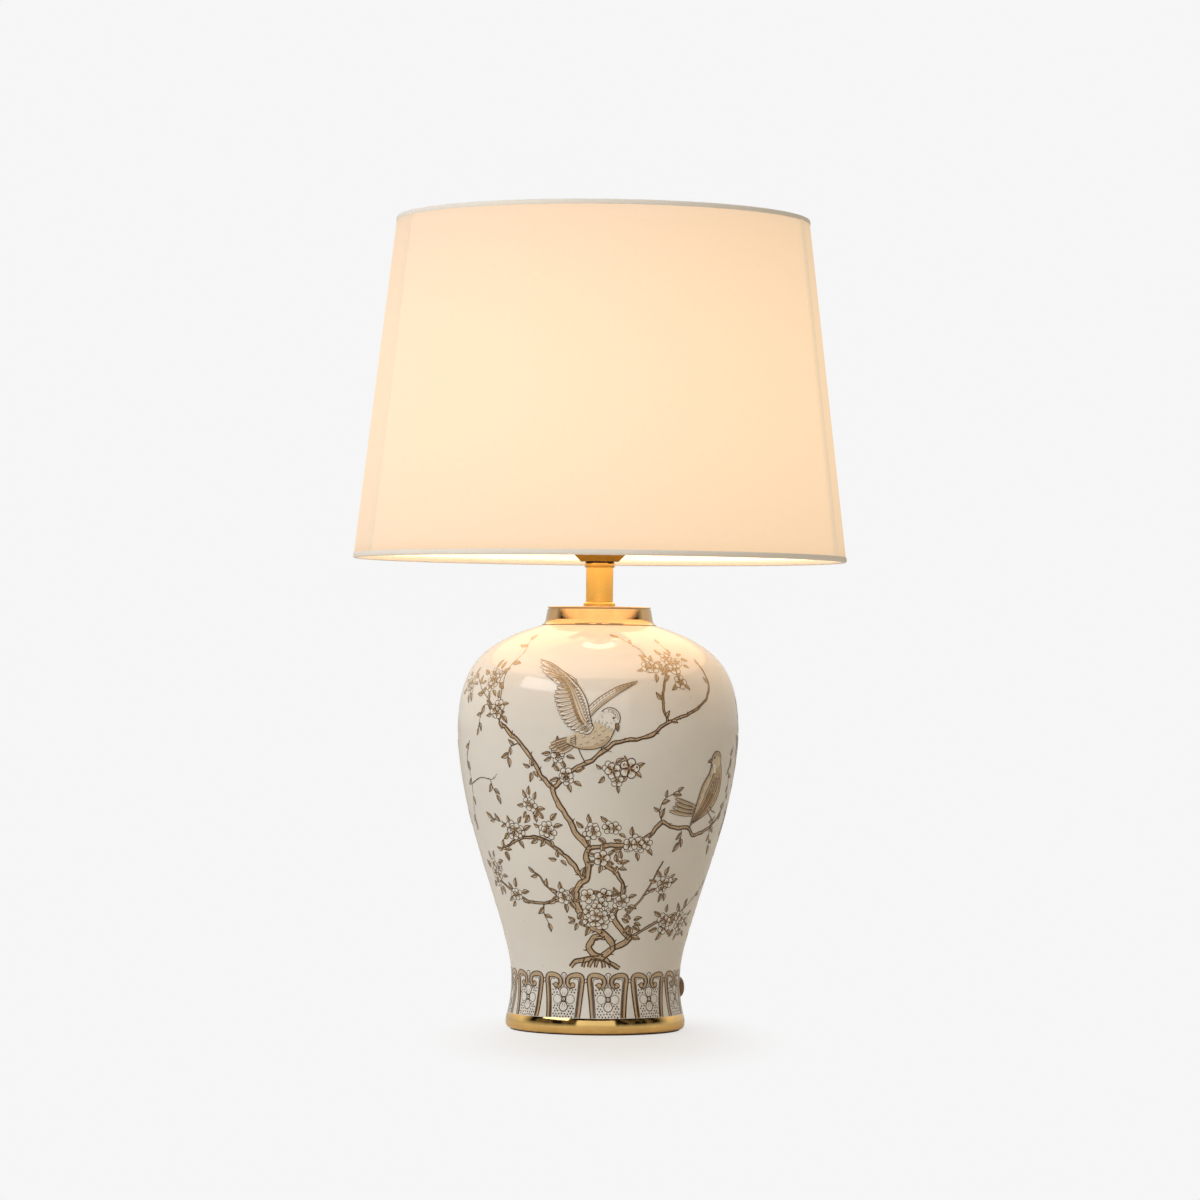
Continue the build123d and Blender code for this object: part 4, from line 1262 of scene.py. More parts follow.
class PanelMotif(Motif):
    """The flat drawing of one panel of the border, in millimetres, upright from the jar's foot."""

    BAND: tuple[Point, ...] = (
        (11.2, 0.3), (11.9, 12.0), (12.8, 22.0), (13.3, 27.0), (12.6, 29.6), (10.2, 30.6),
        (6.5, 30.2), (3.6, 28.6), (2.7, 26.0), (3.1, 23.6), (4.9, 22.4), (6.3, 23.3),
    )
    BAND_ROWS = 48
    BAND_SHARES = (0.0, 0.6, 0.9, 1.0)
    BAND_WIDTHS = (2.7, 3.1, 2.8, 3.0)
    SCROLL_END = 1.9
    INNER: tuple[Point, ...] = ((8.9, 0.3), (9.6, 12.0), (10.4, 22.0), (10.7, 26.5), (9.2, 28.0), (6.8, 27.6))
    STEM: tuple[Point, ...] = ((0.8, 30.6), (0.7, 27.0), (0.4, 22.6))
    DOT_ROWS = 14
    DOT_STEP: Point = (2.2, 1.9)
    DOT_SWAY = 0.25
    HEART: Point = (0.0, 13.4)
    PETAL = Blade(width=6.2, fullness=1.25, blunt=0.6, bend=0.0, stroke=0.66, rows=10)
    PETAL_ROOT = 1.0
    PETAL_TALL = 8.8
    PETAL_WIDE = 7.9

    def __init__(self) -> None:
        """Draw a scrolled band round a dotted ground with a four-petal flower."""
        super().__init__()
        self.dots()
        for side in (1.0, -1.0):
            self.half_band(side)
        self.crest()
        self.flower()

    def dots(self) -> None:
        """Fill the ground with dots in swaying rows, apart from the flower and the scrolls."""
        wide, tall = self.DOT_STEP
        rows = np.arange(self.DOT_ROWS)
        x, y = np.meshgrid(np.arange(-4, 5) * wide, 1.1 + rows * tall)
        x = x + np.where(rows % 2, wide / 2, 0.0)[:, None] + self.DOT_SWAY * np.sin(7.0 * y + 3.0 * x)
        y = y + self.DOT_SWAY * np.sin(5.0 * x + 2.0 * y)
        aside, off = np.abs(x), np.abs(y - self.HEART[1])
        inside = aside < 8.0 + y * 0.06
        petals = ((aside > 3.7) | (off > 9.9)) & ((aside > 8.6) | (off > 3.7))
        scrolls = (np.hypot(aside - 4.6, y - 25.0) > 4.2) & ((aside > 2.2) | (y < 22.0))
        for dot in np.stack([x, y], axis=-1)[inside & petals & scrolls]:
            self.disc(Ink.LINE, dot, 0.64, 3)

    def half_band(self, side: float) -> None:
        """Draw one half of the band with its outlines, its scroll and the lines beside it.

        Args:
            side: 1 for the right half and -1 for the left.
        """
        flip = np.array([side, 1.0])
        path = spline(np.array(self.BAND) * flip, self.BAND_ROWS)
        width = np.interp(np.linspace(0.0, 1.0, self.BAND_ROWS), self.BAND_SHARES, self.BAND_WIDTHS)
        self.line(path, width, Ink.BARK)
        way = np.gradient(path, axis=0)
        left = np.stack([-way[:, 1], way[:, 0]], axis=1) / np.linalg.norm(way, axis=1, keepdims=True)
        for edge, stroke in ((0.5, 0.98), (-0.5, 0.98), (0.22 * side, 0.3)):
            self.line(path + left * (edge * width)[:, None], stroke)
        self.disc(Ink.BARK, path[-1], self.SCROLL_END, 5)
        self.ring(path[-1], self.SCROLL_END, 0.6, 10)
        self.line(spline(np.array(self.INNER) * flip, 20), 0.5)
        self.line(np.array(self.STEM) * flip, 0.42)
        for height in (25.2, 27.6):
            self.line([(side * 14.4, height), (side * 15.9, height + 0.2)], 0.6)

    def crest(self) -> None:
        """Draw the small white arch between the two scrolls."""
        self.disc(Ink.WHITE, (0.0, 30.4), 1.8, 5)
        arch = on_circle(np.linspace(0.0, np.pi, 9))
        self.line(arch * np.array([1.9, 2.0]) + np.array([0.0, 30.2]), 0.6)

    def flower(self) -> None:
        """Draw four petals with short veins round a dark heart."""
        heart = np.array(self.HEART)
        for way in ((0.0, 1.0), (0.0, -1.0), (1.0, 0.0), (-1.0, 0.0)):
            reach = self.PETAL_WIDE if way[0] else self.PETAL_TALL
            root, tip = (heart + np.array(way) * far for far in (self.PETAL_ROOT, reach))
            middle, half = self.blade(Ink.WHITE, root, tip, self.PETAL)
            for share in (-0.3, 0.3):
                self.line((middle + half * share)[2:6], 0.32, Ink.LEAF)
        self.disc(Ink.WHITE, heart, 2.0, 6)
        self.ring(heart, 1.7, 1.1, 12)
        self.disc(Ink.LINE, heart, 0.6, 3)


@dataclass
class BranchLine:
    """A branch on the jar: angle, length along the side, direction and half widths at each place."""

    angle: Array
    along: Array
    way: Array
    left: Array
    right: Array


@dataclass
class PrintGroup:
    """A group on the jar while it is printed: its turn round the jar and its source of irregularities."""

    drawing: Drawing
    turn: float
    rng: np.random.Generator

    def place(self, place: Point) -> Point:
        """Return the angle and the length along the side at some degrees and a height of the group."""
        return math.radians(place[0]) + self.turn, float(self.drawing.surface.along(place[1]))


@dataclass
class JarPrint:
    """The brown print: a blossoming tree with two birds, repeated at the back, over a border of panels."""

    surface: JarSurface = field(default_factory=JarSurface)
    branch_lift: float = 0.04
    line_lift: float = 0.06
    mark_lift: float = 0.07
    leaf_lift: float = 0.10
    flower_lift: float = 0.14
    bird_lift: float = 0.36
    leaf_step: float = 0.002
    rim_step: float = 0.003
    flower_step: float = 0.018
    flying_place: Point = (-0.5, 214)
    perched_place: Point = (57, 181)
    outline: float = 0.85
    shadow_line: float = 1.25
    outline_share: float = 0.45
    twig_width: float = 1.35
    twig_share: float = 0.85
    crook: float = 0.2
    crook_width: float = 3.0
    path_step: float = 1.3
    path_least: int = 7
    knob_gap: int = 3
    knob_sizes: Point = (0.6, 1.42)
    mark_path: int = 12
    mark_gap: int = 5
    mark_width: float = 0.9
    mark_size: float = 0.9
    mark_lean: float = 0.3
    thorn_width: float = 1.4
    thorn_skip: int = 3
    thorn_share: float = 0.7
    thorn_sizes: Point = (0.45, 1.0)
    thorn_leans: Point = (0.5, 1.2)
    leaf_gap: float = 5.0
    leaf_leans: Point = (0.5, 1.1)
    leaf_sizes: Point = (0.65, 0.95)
    tip_lean: float = 0.2
    rim_share: float = 0.9
    rim_clear: float = 3.8
    rim_bare: float = 0.6
    rim_stray: float = 0.35
    rim_lean: float = 0.5
    rim_sizes: Point = (0.6, 0.9)
    any_turn: float = 6.0
    golden_angle: float = 2.4
    first_flower: float = 0.3
    flower_sizes: Point = (0.84, 1.04)
    bud_every: int = 5
    panel_count: int = 12
    panel_start: float = 8.5
    seed: int = 7
    roots: tuple[Branch, ...] = (
        Branch(((2, 55), (-4, 54.6), (-9, 53.4), (-13, 51.5), (-16.4, 47.8)), 3.4, 2.2),
        Branch(((3, 55), (6, 53.6), (9, 51.8), (12.5, 50.4), (16.2, 47.8)), 3.4, 2.2),
        Branch(((-6, 53.6), (-7.6, 51.5), (-8.6, 48.2)), 2.4, 1.8),
        Branch(((-1.5, 54), (-3.4, 51), (-4.2, 48)), 2.4, 1.8),
        Branch(((1.5, 54), (0.8, 51), (0, 48)), 2.4, 1.8),
        Branch(((4, 54), (4.6, 51), (5.8, 48)), 2.4, 1.8),
        Branch(((7.5, 52.5), (9, 50.5), (10, 48.2)), 2.4, 1.8),
        Branch(((4, 55), (-2.5, 58.5), (-4.5, 64), (-1, 69.5), (5, 72)), 3.6, 3.4),
        Branch(((3, 55), (7, 58), (10.5, 61), (17.7, 65.5), (21, 69)), 3.9, 3.4),
    )
    branches: tuple[Branch, ...] = (
        Branch(
            ((10.5, 60.5), (10.5, 65.5), (5.5, 71.5), (-0.2, 75.5), (-5.2, 80), (-8.5, 87), (-11.3, 94),
            (-11, 102)), 4.2, 4.0
        ),
        Branch(((-11, 102), (-7.9, 107.6), (-5, 112), (-4.2, 120), (-4.8, 127), (-3.4, 134)), 4.0, 3.4),
        Branch(((-3.4, 133), (-9, 143), (-14, 157), (-18, 168), (-19, 176)), 3.4, 2.9),
        Branch(((-19, 175), (-24, 185), (-28, 196), (-35, 209), (-43, 220)), 2.9, 1.9),
        Branch(((-43, 220), (-48, 232), (-57, 243), (-64, 252)), 1.2, 0.6, 0.5),
        Branch(((-44, 222), (-44, 240), (-44, 258), (-40, 270), (-44, 279)), 0.9, 0.5, 0.25),
        Branch(((-48, 233), (-54, 232), (-56, 224), (-57, 216)), 1.0, 0.5, 0.7),
        Branch(((-34, 206), (-38, 203), (-39, 196)), 1.1, 0.6, 1.0),
        Branch(((-19, 175), (-10, 188), (-3, 195), (3, 203), (8, 208), (20, 212), (29, 222)), 2.9, 2.0),
        Branch(((29, 222), (41, 229), (50, 238), (54, 250), (53, 262)), 1.9, 0.7, 0.1),
        Branch(((29, 222), (27, 234), (28, 246), (31, 256)), 1.8, 1.2, 0.35),
        Branch(((31, 256), (25, 264), (20, 274), (12, 281)), 0.9, 0.5, 0.3),
        Branch(((31, 256), (37, 266), (36, 277)), 0.9, 0.5, 0.3),
        Branch(((-4, 133), (4, 135), (12, 136), (20, 138), (26, 145), (30, 152)), 2.8, 2.3),
        Branch(((30, 152), (37, 148), (45, 147), (51, 142), (60, 146), (68, 153), (73, 163)), 2.5, 1.1),
        Branch(((30, 152), (28, 160), (30, 168), (36, 173)), 1.1, 0.6, 0.9),
        Branch(((41, 147), (42, 142), (41, 137)), 0.8, 0.5, 1.2),
        Branch(((65, 155), (63, 146), (66, 134)), 0.9, 0.5, 0.8),
        Branch(
            ((-6, 111), (-12, 122), (-18, 131), (-26, 139), (-33, 140), (-41, 137), (-47, 133)),
            3.2, 1.3, 0.12
        ),
        Branch(((-27, 152), (-29, 158), (-30, 170)), 0.8, 0.5, 0.5),
        Branch(((-40, 147), (-48, 150), (-54, 153)), 0.8, 0.5, 0.9),
        Branch(
            ((21, 68.5), (16, 74), (11.8, 80), (10.5, 88), (13.3, 98), (13.6, 107), (10, 115.5), (4, 122)),
            3.4, 2.4
        ),
        Branch(((9, 117), (13, 121), (12, 126)), 1.0, 0.6, 0.9),
        Branch(((20, 68), (27, 73), (38, 80), (46, 82)), 1.9, 1.3, 0.1),
        Branch(((46, 82), (58, 88), (68, 97), (77, 105)), 1.1, 0.5, 0.3),
        Branch(((16, 84), (19, 88), (25, 97), (30, 110), (34, 124)), 1.4, 0.6),
        Branch(((26, 99), (31, 103), (36, 106)), 1.0, 0.6),
        Branch(((-10, 95), (-17, 98), (-23, 101), (-28, 107), (-30, 112), (-33, 115)), 1.5, 0.6, 0.45),
        Branch(((-17, 98), (-26, 94), (-34, 93), (-42, 95), (-49, 100), (-58, 106), (-66, 116)), 1.9, 0.8),
        Branch(((-30, 93), (-31, 86), (-29, 79)), 1.2, 0.6, 0.9),
        Branch(((-65, 207), (-69, 192), (-67, 177), (-72, 150)), 1.0, 0.5, 0.35),
        Branch(((-67, 176), (-58, 181), (-50, 180), (-46, 184)), 1.0, 0.5),
        Branch(((-51, 180), (-50, 175), (-48, 169)), 0.8, 0.5, 1.2),
        Branch(((74, 205), (71, 190), (74, 172), (71, 158)), 1.0, 0.5, 0.7),
        Branch(((-88, 112), (-94, 132), (-90, 158), (-96, 184), (-92, 206), (-97, 232)), 1.8, 0.6, 0.35),
        Branch(((-90, 60), (-96, 72), (-92, 86)), 1.2, 0.5, 0.7),
    )
    clusters: tuple[Cluster, ...] = (
        Cluster((-30, 162), 2, (2.5, 4.5), 7, 0.75),
        Cluster((-40, 144), 4, (5.0, 4.0), 5, 0.85),
        Cluster((-23, 146), 3, (2.5, 5.5), 6, 0.85),
        Cluster((-2, 145), 3, (4.0, 3.0), 5, 0.9),
        Cluster((7, 147), 2, (3.5, 3.5), 2, 0.75),
        Cluster((2.4, 126), 1, (0.5, 0.5), 6, 1.1),
        Cluster((18, 136), 6, (8.5, 3.6), 6, 0.8),
        Cluster((14, 95), 2, (2.5, 2.5), 7, 0.9),
        Cluster((1, 86), 10, (8.0, 9.0), 2, 0.86),
        Cluster((-4.5, 99), 1, (0.5, 0.5), 2, 0.95),
        Cluster((4.5, 99.5), 1, (0.5, 0.5), 3, 0.95),
        Cluster((-50, 130), 0, (1.2, 1.2), 5),
        Cluster((-18.5, 125), 0, (1.4, 0.8), 3),
        Cluster((-11, 81), 0, (1.0, 1.0), 6),
        Cluster((21, 80), 0, (1.5, 3.0), 7),
        Cluster((10, 122), 0, (2.0, 1.0), 4),
        Cluster((-18, 98), 2, (3.0, 2.0), 6, 0.85),
        Cluster((-48, 98), 2, (3.0, 3.0), 6, 0.85),
        Cluster((37, 107), 3, (4.0, 4.0), 8, 0.8),
        Cluster((44, 80), 3, (4.5, 4.5), 6, 0.85),
        Cluster((60, 80), 5, (7.0, 7.0), 8, 0.85),
        Cluster((-62, 114), 5, (5.5, 9.0), 9, 0.8),
        Cluster((-16, 199), 2, (3.0, 2.5), 6, 0.85),
        Cluster((-12.5, 184), 2, (3.5, 2.5), 6, 0.95),
        Cluster((5.5, 188), 2, (3.5, 2.5), 5, 0.95),
        Cluster((13, 189.5), 1, (0.5, 0.5), 5, 1.15),
        Cluster((8, 181), 1, (0.5, 0.5), 3, 0.9),
        Cluster((-51, 251), 5, (5.5, 6.5), 8, 0.85),
        Cluster((-45, 229), 3, (3.0, 6.0), 6, 0.8),
        Cluster((-70, 247), 3, (5.0, 6.0), 7, 0.8),
        Cluster((-28, 188), 0, (1.0, 2.0), 4),
        Cluster((36, 264), 4, (7.0, 6.0), 9, 0.85),
        Cluster((24, 260), 2, (3.5, 2.5), 5, 0.85),
        Cluster((37, 250), 1, (0.5, 0.5), 3, 0.85),
        Cluster((-94, 150), 4, (6.0, 8.0), 8, 0.9),
        Cluster((-95, 205), 3, (5.0, 6.0), 7, 0.9),
    )

    def draw_border(self, drawing: Drawing) -> None:
        """Print the panels round the jar's foot.

        Args:
            drawing: Drawing to add to.
        """
        angle = np.radians(self.panel_start + 360.0 / self.panel_count * np.arange(self.panel_count))
        plain = np.zeros(self.panel_count)
        drawing.stamp(PanelMotif(), Places(angle, plain, plain, plain + 1.0, plain + self.branch_lift))

    def trace(self, group: PrintGroup, branch: Branch) -> BranchLine:
        """Work out a branch on the jar: a smooth curve with small crooks, and knobs on both edges.

        Args:
            group: Group that is printed.
            branch: The branch.

        Returns:
            The branch's line and half widths.
        """
        surface, rng = self.surface, group.rng
        places = np.array(branch.places, float)
        scale = float(surface.radius(surface.along(places[:, 1].mean())))
        knots = np.stack([np.radians(places[:, 0]) * scale, surface.along(places[:, 1])], axis=1)
        length = np.linalg.norm(np.diff(knots, axis=0), axis=1).sum()
        count = max(self.path_least, int(length / self.path_step))
        right, along = spline(knots, count).T
        steps = np.arange(count)
        knobs = np.arange(0, count + self.knob_gap, self.knob_gap)
        sway = [0.0, *rng.uniform(-1.0, 1.0, len(knobs) - 2), 0.0]
        bend = self.crook * min(branch.thick, self.crook_width)
        bend = bend * np.interp(steps, [0, *knobs[1:-1], count], sway)
        lead = np.stack([np.gradient(right), np.gradient(along)])
        lead = lead / np.linalg.norm(lead, axis=0)
        right, along = right - lead[1] * bend, along + lead[0] * bend
        angle = right / scale + group.turn
        way = np.arctan2(np.gradient(along), np.gradient(angle) * surface.radius(along))
        taper = 0.5 * np.linspace(branch.thick, branch.thin, count)
        sizes = [rng.uniform(*self.knob_sizes, len(knobs)) for _ in range(2)]
        return BranchLine(angle, along, way, *(taper * np.interp(steps, knobs, size) for size in sizes))

    def draw_branch(self, group: PrintGroup, branch: Branch) -> None:
        """Print a branch with its outlines, bark marks, thorns and leaves.

        Args:
            group: Group that is printed.
            branch: The branch.
        """
        line = self.trace(group, branch)
        stroke, middle, width = group.drawing.stroke, (line.angle, line.along), line.left + line.right
        if branch.thick > self.twig_width:
            stroke(Ink.BARK, *middle, width, self.branch_lift, (line.left - line.right) * 0.5)
            for edge, pen in ((line.left, self.outline), (-line.right, self.shadow_line)):
                pens = np.full(len(width), min(pen, self.outline_share * branch.thick))
                stroke(Ink.LINE, *middle, pens, self.line_lift, edge)
        else:
            stroke(Ink.LINE, *middle, width * self.twig_share, self.line_lift, 0.0)
        if len(width) > self.mark_path:
            self.draw_bark(group, line)
        if branch.leafy > 0.0:
            self.draw_leaves(group, line, branch.leafy)

    def draw_bark(self, group: PrintGroup, line: BranchLine) -> None:
        """Print thorns on both edges of a branch and short marks in its bark.

        Args:
            group: Group that is printed.
            line: The branch's line.
        """
        rng = group.rng
        spots = np.arange(3, len(line.angle) - 2, self.mark_gap)
        count = len(spots)
        spots = spots + rng.integers(-2, 3, count)
        angle, along, way = line.angle[spots], line.along[spots], line.way[spots]
        on_left = rng.random(count) < 0.5
        side = np.where(on_left, 1.0, -1.0)
        out = side * np.where(on_left, line.left[spots], line.right[spots])
        edge = self.surface.shift(angle, along, -np.sin(way) * out, np.cos(way) * out)
        lean = way + side * rng.uniform(*self.thorn_leans, count)
        size = np.clip(line.left[spots] * self.thorn_share, *self.thorn_sizes)
        lift = np.full(count, self.mark_lift)
        few = slice(None, None, self.thorn_skip if line.left[0] > self.thorn_width else 1)
        group.drawing.stamp(Thorn(), Places(*edge, lean, size, lift).some(few))
        if line.left[0] > self.mark_width:
            lean = way + rng.uniform(-self.mark_lean, self.mark_lean, count)
            group.drawing.stamp(BarkMark(), Places(angle, along, lean, np.full(count, self.mark_size), lift))

    def draw_leaves(self, group: PrintGroup, line: BranchLine, leafy: float) -> None:
        """Print leaves along a branch, left and right by turns, and one at its tip.

        Args:
            group: Group that is printed.
            line: The branch's line.
            leafy: How close the leaves are.
        """
        last = len(line.angle) - 1
        gap = max(2, int(self.leaf_gap / leafy / self.path_step))
        spots = np.append(np.arange(2, last, gap), last)
        order = np.arange(len(spots))
        lean = np.where(order % 2, 1.0, -1.0) * group.rng.uniform(*self.leaf_leans, len(spots))
        lean[-1] *= self.tip_lean
        size = group.rng.uniform(*self.leaf_sizes, len(spots))
        lift = self.leaf_lift + self.leaf_step * order
        places = Places(line.angle[spots], line.along[spots], line.way[spots] + lean, size, lift)
        group.drawing.stamp(Leaf(), places)

    def draw_rim(self, group: PrintGroup, cluster: Cluster) -> None:
        """Print the leaves of a bunch: they point outwards from an oval round its middle.

        Args:
            group: Group that is printed.
            cluster: The bunch.
        """
        rng, count = group.rng, cluster.leaves
        way = turns(count) + rng.uniform(-self.rim_stray, self.rim_stray, count)
        way = way + rng.uniform(0.0, self.any_turn)
        out = on_circle(way).T
        clear = self.rim_clear if cluster.blossoms else self.rim_bare
        rim = np.array(cluster.spread)[:, None] * out * self.rim_share + clear * cluster.size * out
        angle, along = self.surface.shift(*group.place(cluster.place), *rim)
        turn = way + rng.uniform(-self.rim_lean, self.rim_lean, count)
        size = rng.uniform(*self.rim_sizes, count)
        lift = self.leaf_lift + self.rim_step * np.arange(count)
        group.drawing.stamp(Leaf(), Places(angle, along, turn, size, lift))

    def draw_flowers(self, group: PrintGroup, cluster: Cluster) -> None:
        """Print the flowers of a bunch, spaced like seeds in a sunflower.

        Flower k of n is at the angle 2.4 k and at the share sqrt((k + 0.3) / n) of the bunch's spread,
        and a single flower is in the middle.

        Args:
            group: Group that is printed.
            cluster: The bunch.
        """
        rng, count = group.rng, cluster.blossoms
        k = np.arange(count)
        reach = np.sqrt((k + self.first_flower * (count > 1)) / max(count, 1))
        way = self.golden_angle * k + rng.uniform(0.0, self.any_turn)
        spot = np.array(cluster.spread)[:, None] * reach * on_circle(way).T
        angle, along = self.surface.shift(*group.place(cluster.place), *spot)
        size = cluster.size * rng.uniform(*self.flower_sizes, count)
        lift = self.flower_lift + self.flower_step * k[::-1]
        spin = rng.uniform(0.0, self.any_turn, count)
        is_bud = k % self.bud_every == self.bud_every - 1
        for motif, chosen, turn in ((Blossom(), ~is_bud, spin), (Bud(), is_bud, way - np.pi / 2)):
            if chosen.any():
                group.drawing.stamp(motif, Places(angle, along, turn, size, lift).some(chosen))

    def build(self) -> list[Piece]:
        """Print the border and the two groups of a tree with its birds.

        Returns:
            The new pieces, one for each ink.
        """
        drawing = Drawing(self.surface)
        self.draw_border(drawing)
        birds = ((FlyingBird(), self.flying_place), (PerchedBird(), self.perched_place))
        for turn in (0.0, math.pi):
            group = PrintGroup(drawing, turn, np.random.default_rng(self.seed))
            for branch in (*self.roots, *self.branches):
                self.draw_branch(group, branch)
            for cluster in self.clusters:
                self.draw_rim(group, cluster)
                self.draw_flowers(group, cluster)
            for bird, place in birds:
                values = (*group.place(place), 0.0, 1.0, self.bird_lift)
                drawing.stamp(bird, Places(*(np.array([value]) for value in values)))
        return drawing.pieces()


@dataclass
class Shade:
    """The shade's soft parts: two fabric panels, lap strips over their seams, and two rolled trims."""

    top_ring: Point = (147.1, 580.4)
    bottom_ring: Point = (175.5, 338.6)
    trim_radius: float = 2.1
    trim_square: float = 0.62
    trim_cover: float = 0.75
    trim_inset: float = 0.07
    trim_around: int = 360
    trim_across: int = 24
    ripple: float = 0.03
    ripple_waves: Point = (37.0, 91.0)
    fabric: float = 0.6
    sheet_low: float = 339.7
    sheet_high: float = 579.4
    sheet_rows: int = 25
    seam_left: float = -66.0
    seam_right: float = 70.0
    seam_gap: float = 0.3
    lap_left: float = 4.5
    lap_right: float = 8.0
    lap_rise: float = 0.3
    lap_thick: float = 0.28
    lap_over: float = 0.2
    step: float = 1.5
    step_least: int = 4

    def radius(self, height: Union[float, Array]) -> Union[float, Array]:
        """Return the outer radius of the fabric, which narrows evenly from the bottom ring to the top.

        Args:
            height: Height over the table.

        Returns:
            The radius at that height.
        """
        taper = (self.bottom_ring[0] - self.top_ring[0]) / (self.top_ring[1] - self.bottom_ring[1])
        lowest = self.bottom_ring[0] + self.trim_radius * self.trim_cover
        return lowest - (height - self.bottom_ring[1]) * taper

    def cone(self, name: str, start: float, end: float, rise: float, thick: float, finish: Finish) -> Piece:
        """Make a closed strip of the cone: an outer and an inner face joined round the edges.

        Args:
            name: Name of the piece.
            start: First angle from the front, in degrees.
            end: Last angle from the front, in degrees.
            rise: How far the outer face stands over the fabric's face.
            thick: Thickness of the cloth.
            finish: Finish of the cloth.

        Returns:
            The new object.
        """
        heights = np.linspace(self.sheet_low, self.sheet_high, self.sheet_rows)
        columns = max(self.step_least, int((end - start) / self.step))
        angles = np.radians(np.linspace(start, end, columns))[:, None]
        outer = np.stack([self.radius(heights) + rise, heights], axis=1)
        radius, height = np.vstack([outer, outer[::-1] - (thick, 0.0)]).T
        points = round_axis(radius, angles, height)
        rows, cols = points.shape[:2]
        faces = grid_faces(rows, cols, wrap_cols=True)[:, ::-1]
        low = np.arange(len(heights) - 1)
        first = np.stack([low, low + 1, cols - 2 - low, cols - 1 - low], axis=1)
        caps = [first, first[:, ::-1] + (rows - 1) * cols]
        flat = np.stack(np.broadcast_arrays(angles * self.radius(height), height), axis=-1)
        return make_piece(name, points, np.vstack([faces, *caps]), finish, "shade", flat * MM)

    def trim(self, name: str, ring: Point) -> Piece:
        """Make a rolled tape round a ring: a tube with a squarish section that ripples a little along it.

        The section is (|cos a|^s, |sin a|^s) with the signs of cos a and sin a, times the tube's radius.

        Args:
            name: Name of the piece.
            ring: Radius and height of the wire inside.

        Returns:
            The new object.
        """
        around, across = turns(self.trim_around)[:, None], turns(self.trim_across)
        slow, fast = self.ripple_waves
        ripple = self.ripple * np.sin(slow * around) + self.ripple * np.sin(fast * around + 1.0)
        tube = (self.trim_radius - self.trim_inset) + ripple
        side, top = (np.sign(f) * np.abs(f) ** self.trim_square for f in (np.cos(across), np.sin(across)))
        points = round_axis(ring[0] + tube * side, around, ring[1] + tube * top)
        flat = np.stack(np.broadcast_arrays(ring[0] * around, self.trim_radius * across), axis=-1)
        faces = grid_faces(self.trim_around, self.trim_across, wrap_rows=True, wrap_cols=True)[:, ::-1]
        return make_piece(name, points, faces, TRIM, "shade", flat * MM)

    def declare(self) -> None:
        """Work out the fabric's radius at its low and high edges and halfway up; nothing uses them.
        """
        low, high = self.radius(self.sheet_low), self.radius(self.sheet_high)
        middle = float(self.radius((self.sheet_low + self.sheet_high) / 2.0))

    def build(self) -> list[Piece]:
        """Returns:
            The new pieces.
        """
        left, right = self.seam_left, self.seam_right
        gap = math.degrees(self.seam_gap / 2.0 / self.bottom_ring[0])
        front = self.cone("fabric_front", left + gap, right - gap, 0.0, self.fabric, FABRIC)
        back = self.cone("fabric_back", right + gap, 360.0 + left - gap, 0.0, self.fabric, FABRIC_BACK)
        widths = [math.degrees(lap / self.bottom_ring[0]) for lap in (self.lap_left, self.lap_right)]
        strips = (
            ("seam_lap_left", left - widths[0], left + self.lap_over),
            ("seam_lap_right", right - self.lap_over, right + widths[1]),
        )
        laps = [self.cone(*strip, self.lap_rise, self.lap_thick, FABRIC_LAP) for strip in strips]
        rings = (("rolled_trim_top", self.top_ring), ("rolled_trim_bottom", self.bottom_ring))
        trims = [self.trim(*ring) for ring in rings]
        nodes = ("shade_panel_front", "shade_panel_back", "shade_trim_top", "shade_trim_bottom")
        for piece, node in zip((front, back, *trims), nodes):
            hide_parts(node)
        self.declare()
        self.declare()
        return [front, back, *laps, *trims]


@dataclass
class BulbThread:
    """The bulb's screw cap with its rolled thread, in place of the plain CAD cap."""

    radius: float = 12.9
    wall: float = 0.8
    hole: float = 11.9
    low: float = 384.0
    high: float = 405.0
    pitch: float = 3.6
    depth: float = 0.55
    fade: float = 1.2
    thread_low: float = 387.0
    thread_high: float = 401.5
    rows: int = 120
    sides: int = 96

    def build(self) -> Piece:
        """Make the cap: r = radius - depth (1 - cos(2 pi z / pitch - a)) / 2 between the thread's ends.

        Returns:
            The new piece.
        """
        angles = turns(self.sides)
        z = np.linspace(self.low + self.wall, self.high, self.rows)
        fade = np.clip(np.minimum(z - self.thread_low, self.thread_high - z) / self.fade, 0.0, 1.0)
        wave = 0.5 - 0.5 * np.cos(2.0 * np.pi * z[:, None] / self.pitch - angles)
        outer = self.radius - self.depth * fade[:, None] * wave
        inner = np.full_like(outer, self.radius - self.wall)
        rim = np.full((1, self.sides), self.hole)
        radius = np.vstack([rim, inner[:1], outer, inner, rim])
        heights = np.concatenate([[self.low, self.low], z, z[::-1], [self.low + self.wall]])
        points = round_axis(radius, angles, heights[:, None])
        faces = grid_faces(len(heights), self.sides, wrap_rows=True, wrap_cols=True)
        cap = make_piece("bulb_cap_thread", points, faces, ALUMINIUM, "bulb")
        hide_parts("bulb_cap")
        return cap


@dataclass(frozen=True)
class Pane:
    """A bright pane in the mirrored room: its middle angle, half width, height and half height."""

    turn: float
    half_wide: float
    height: float
    half_tall: float


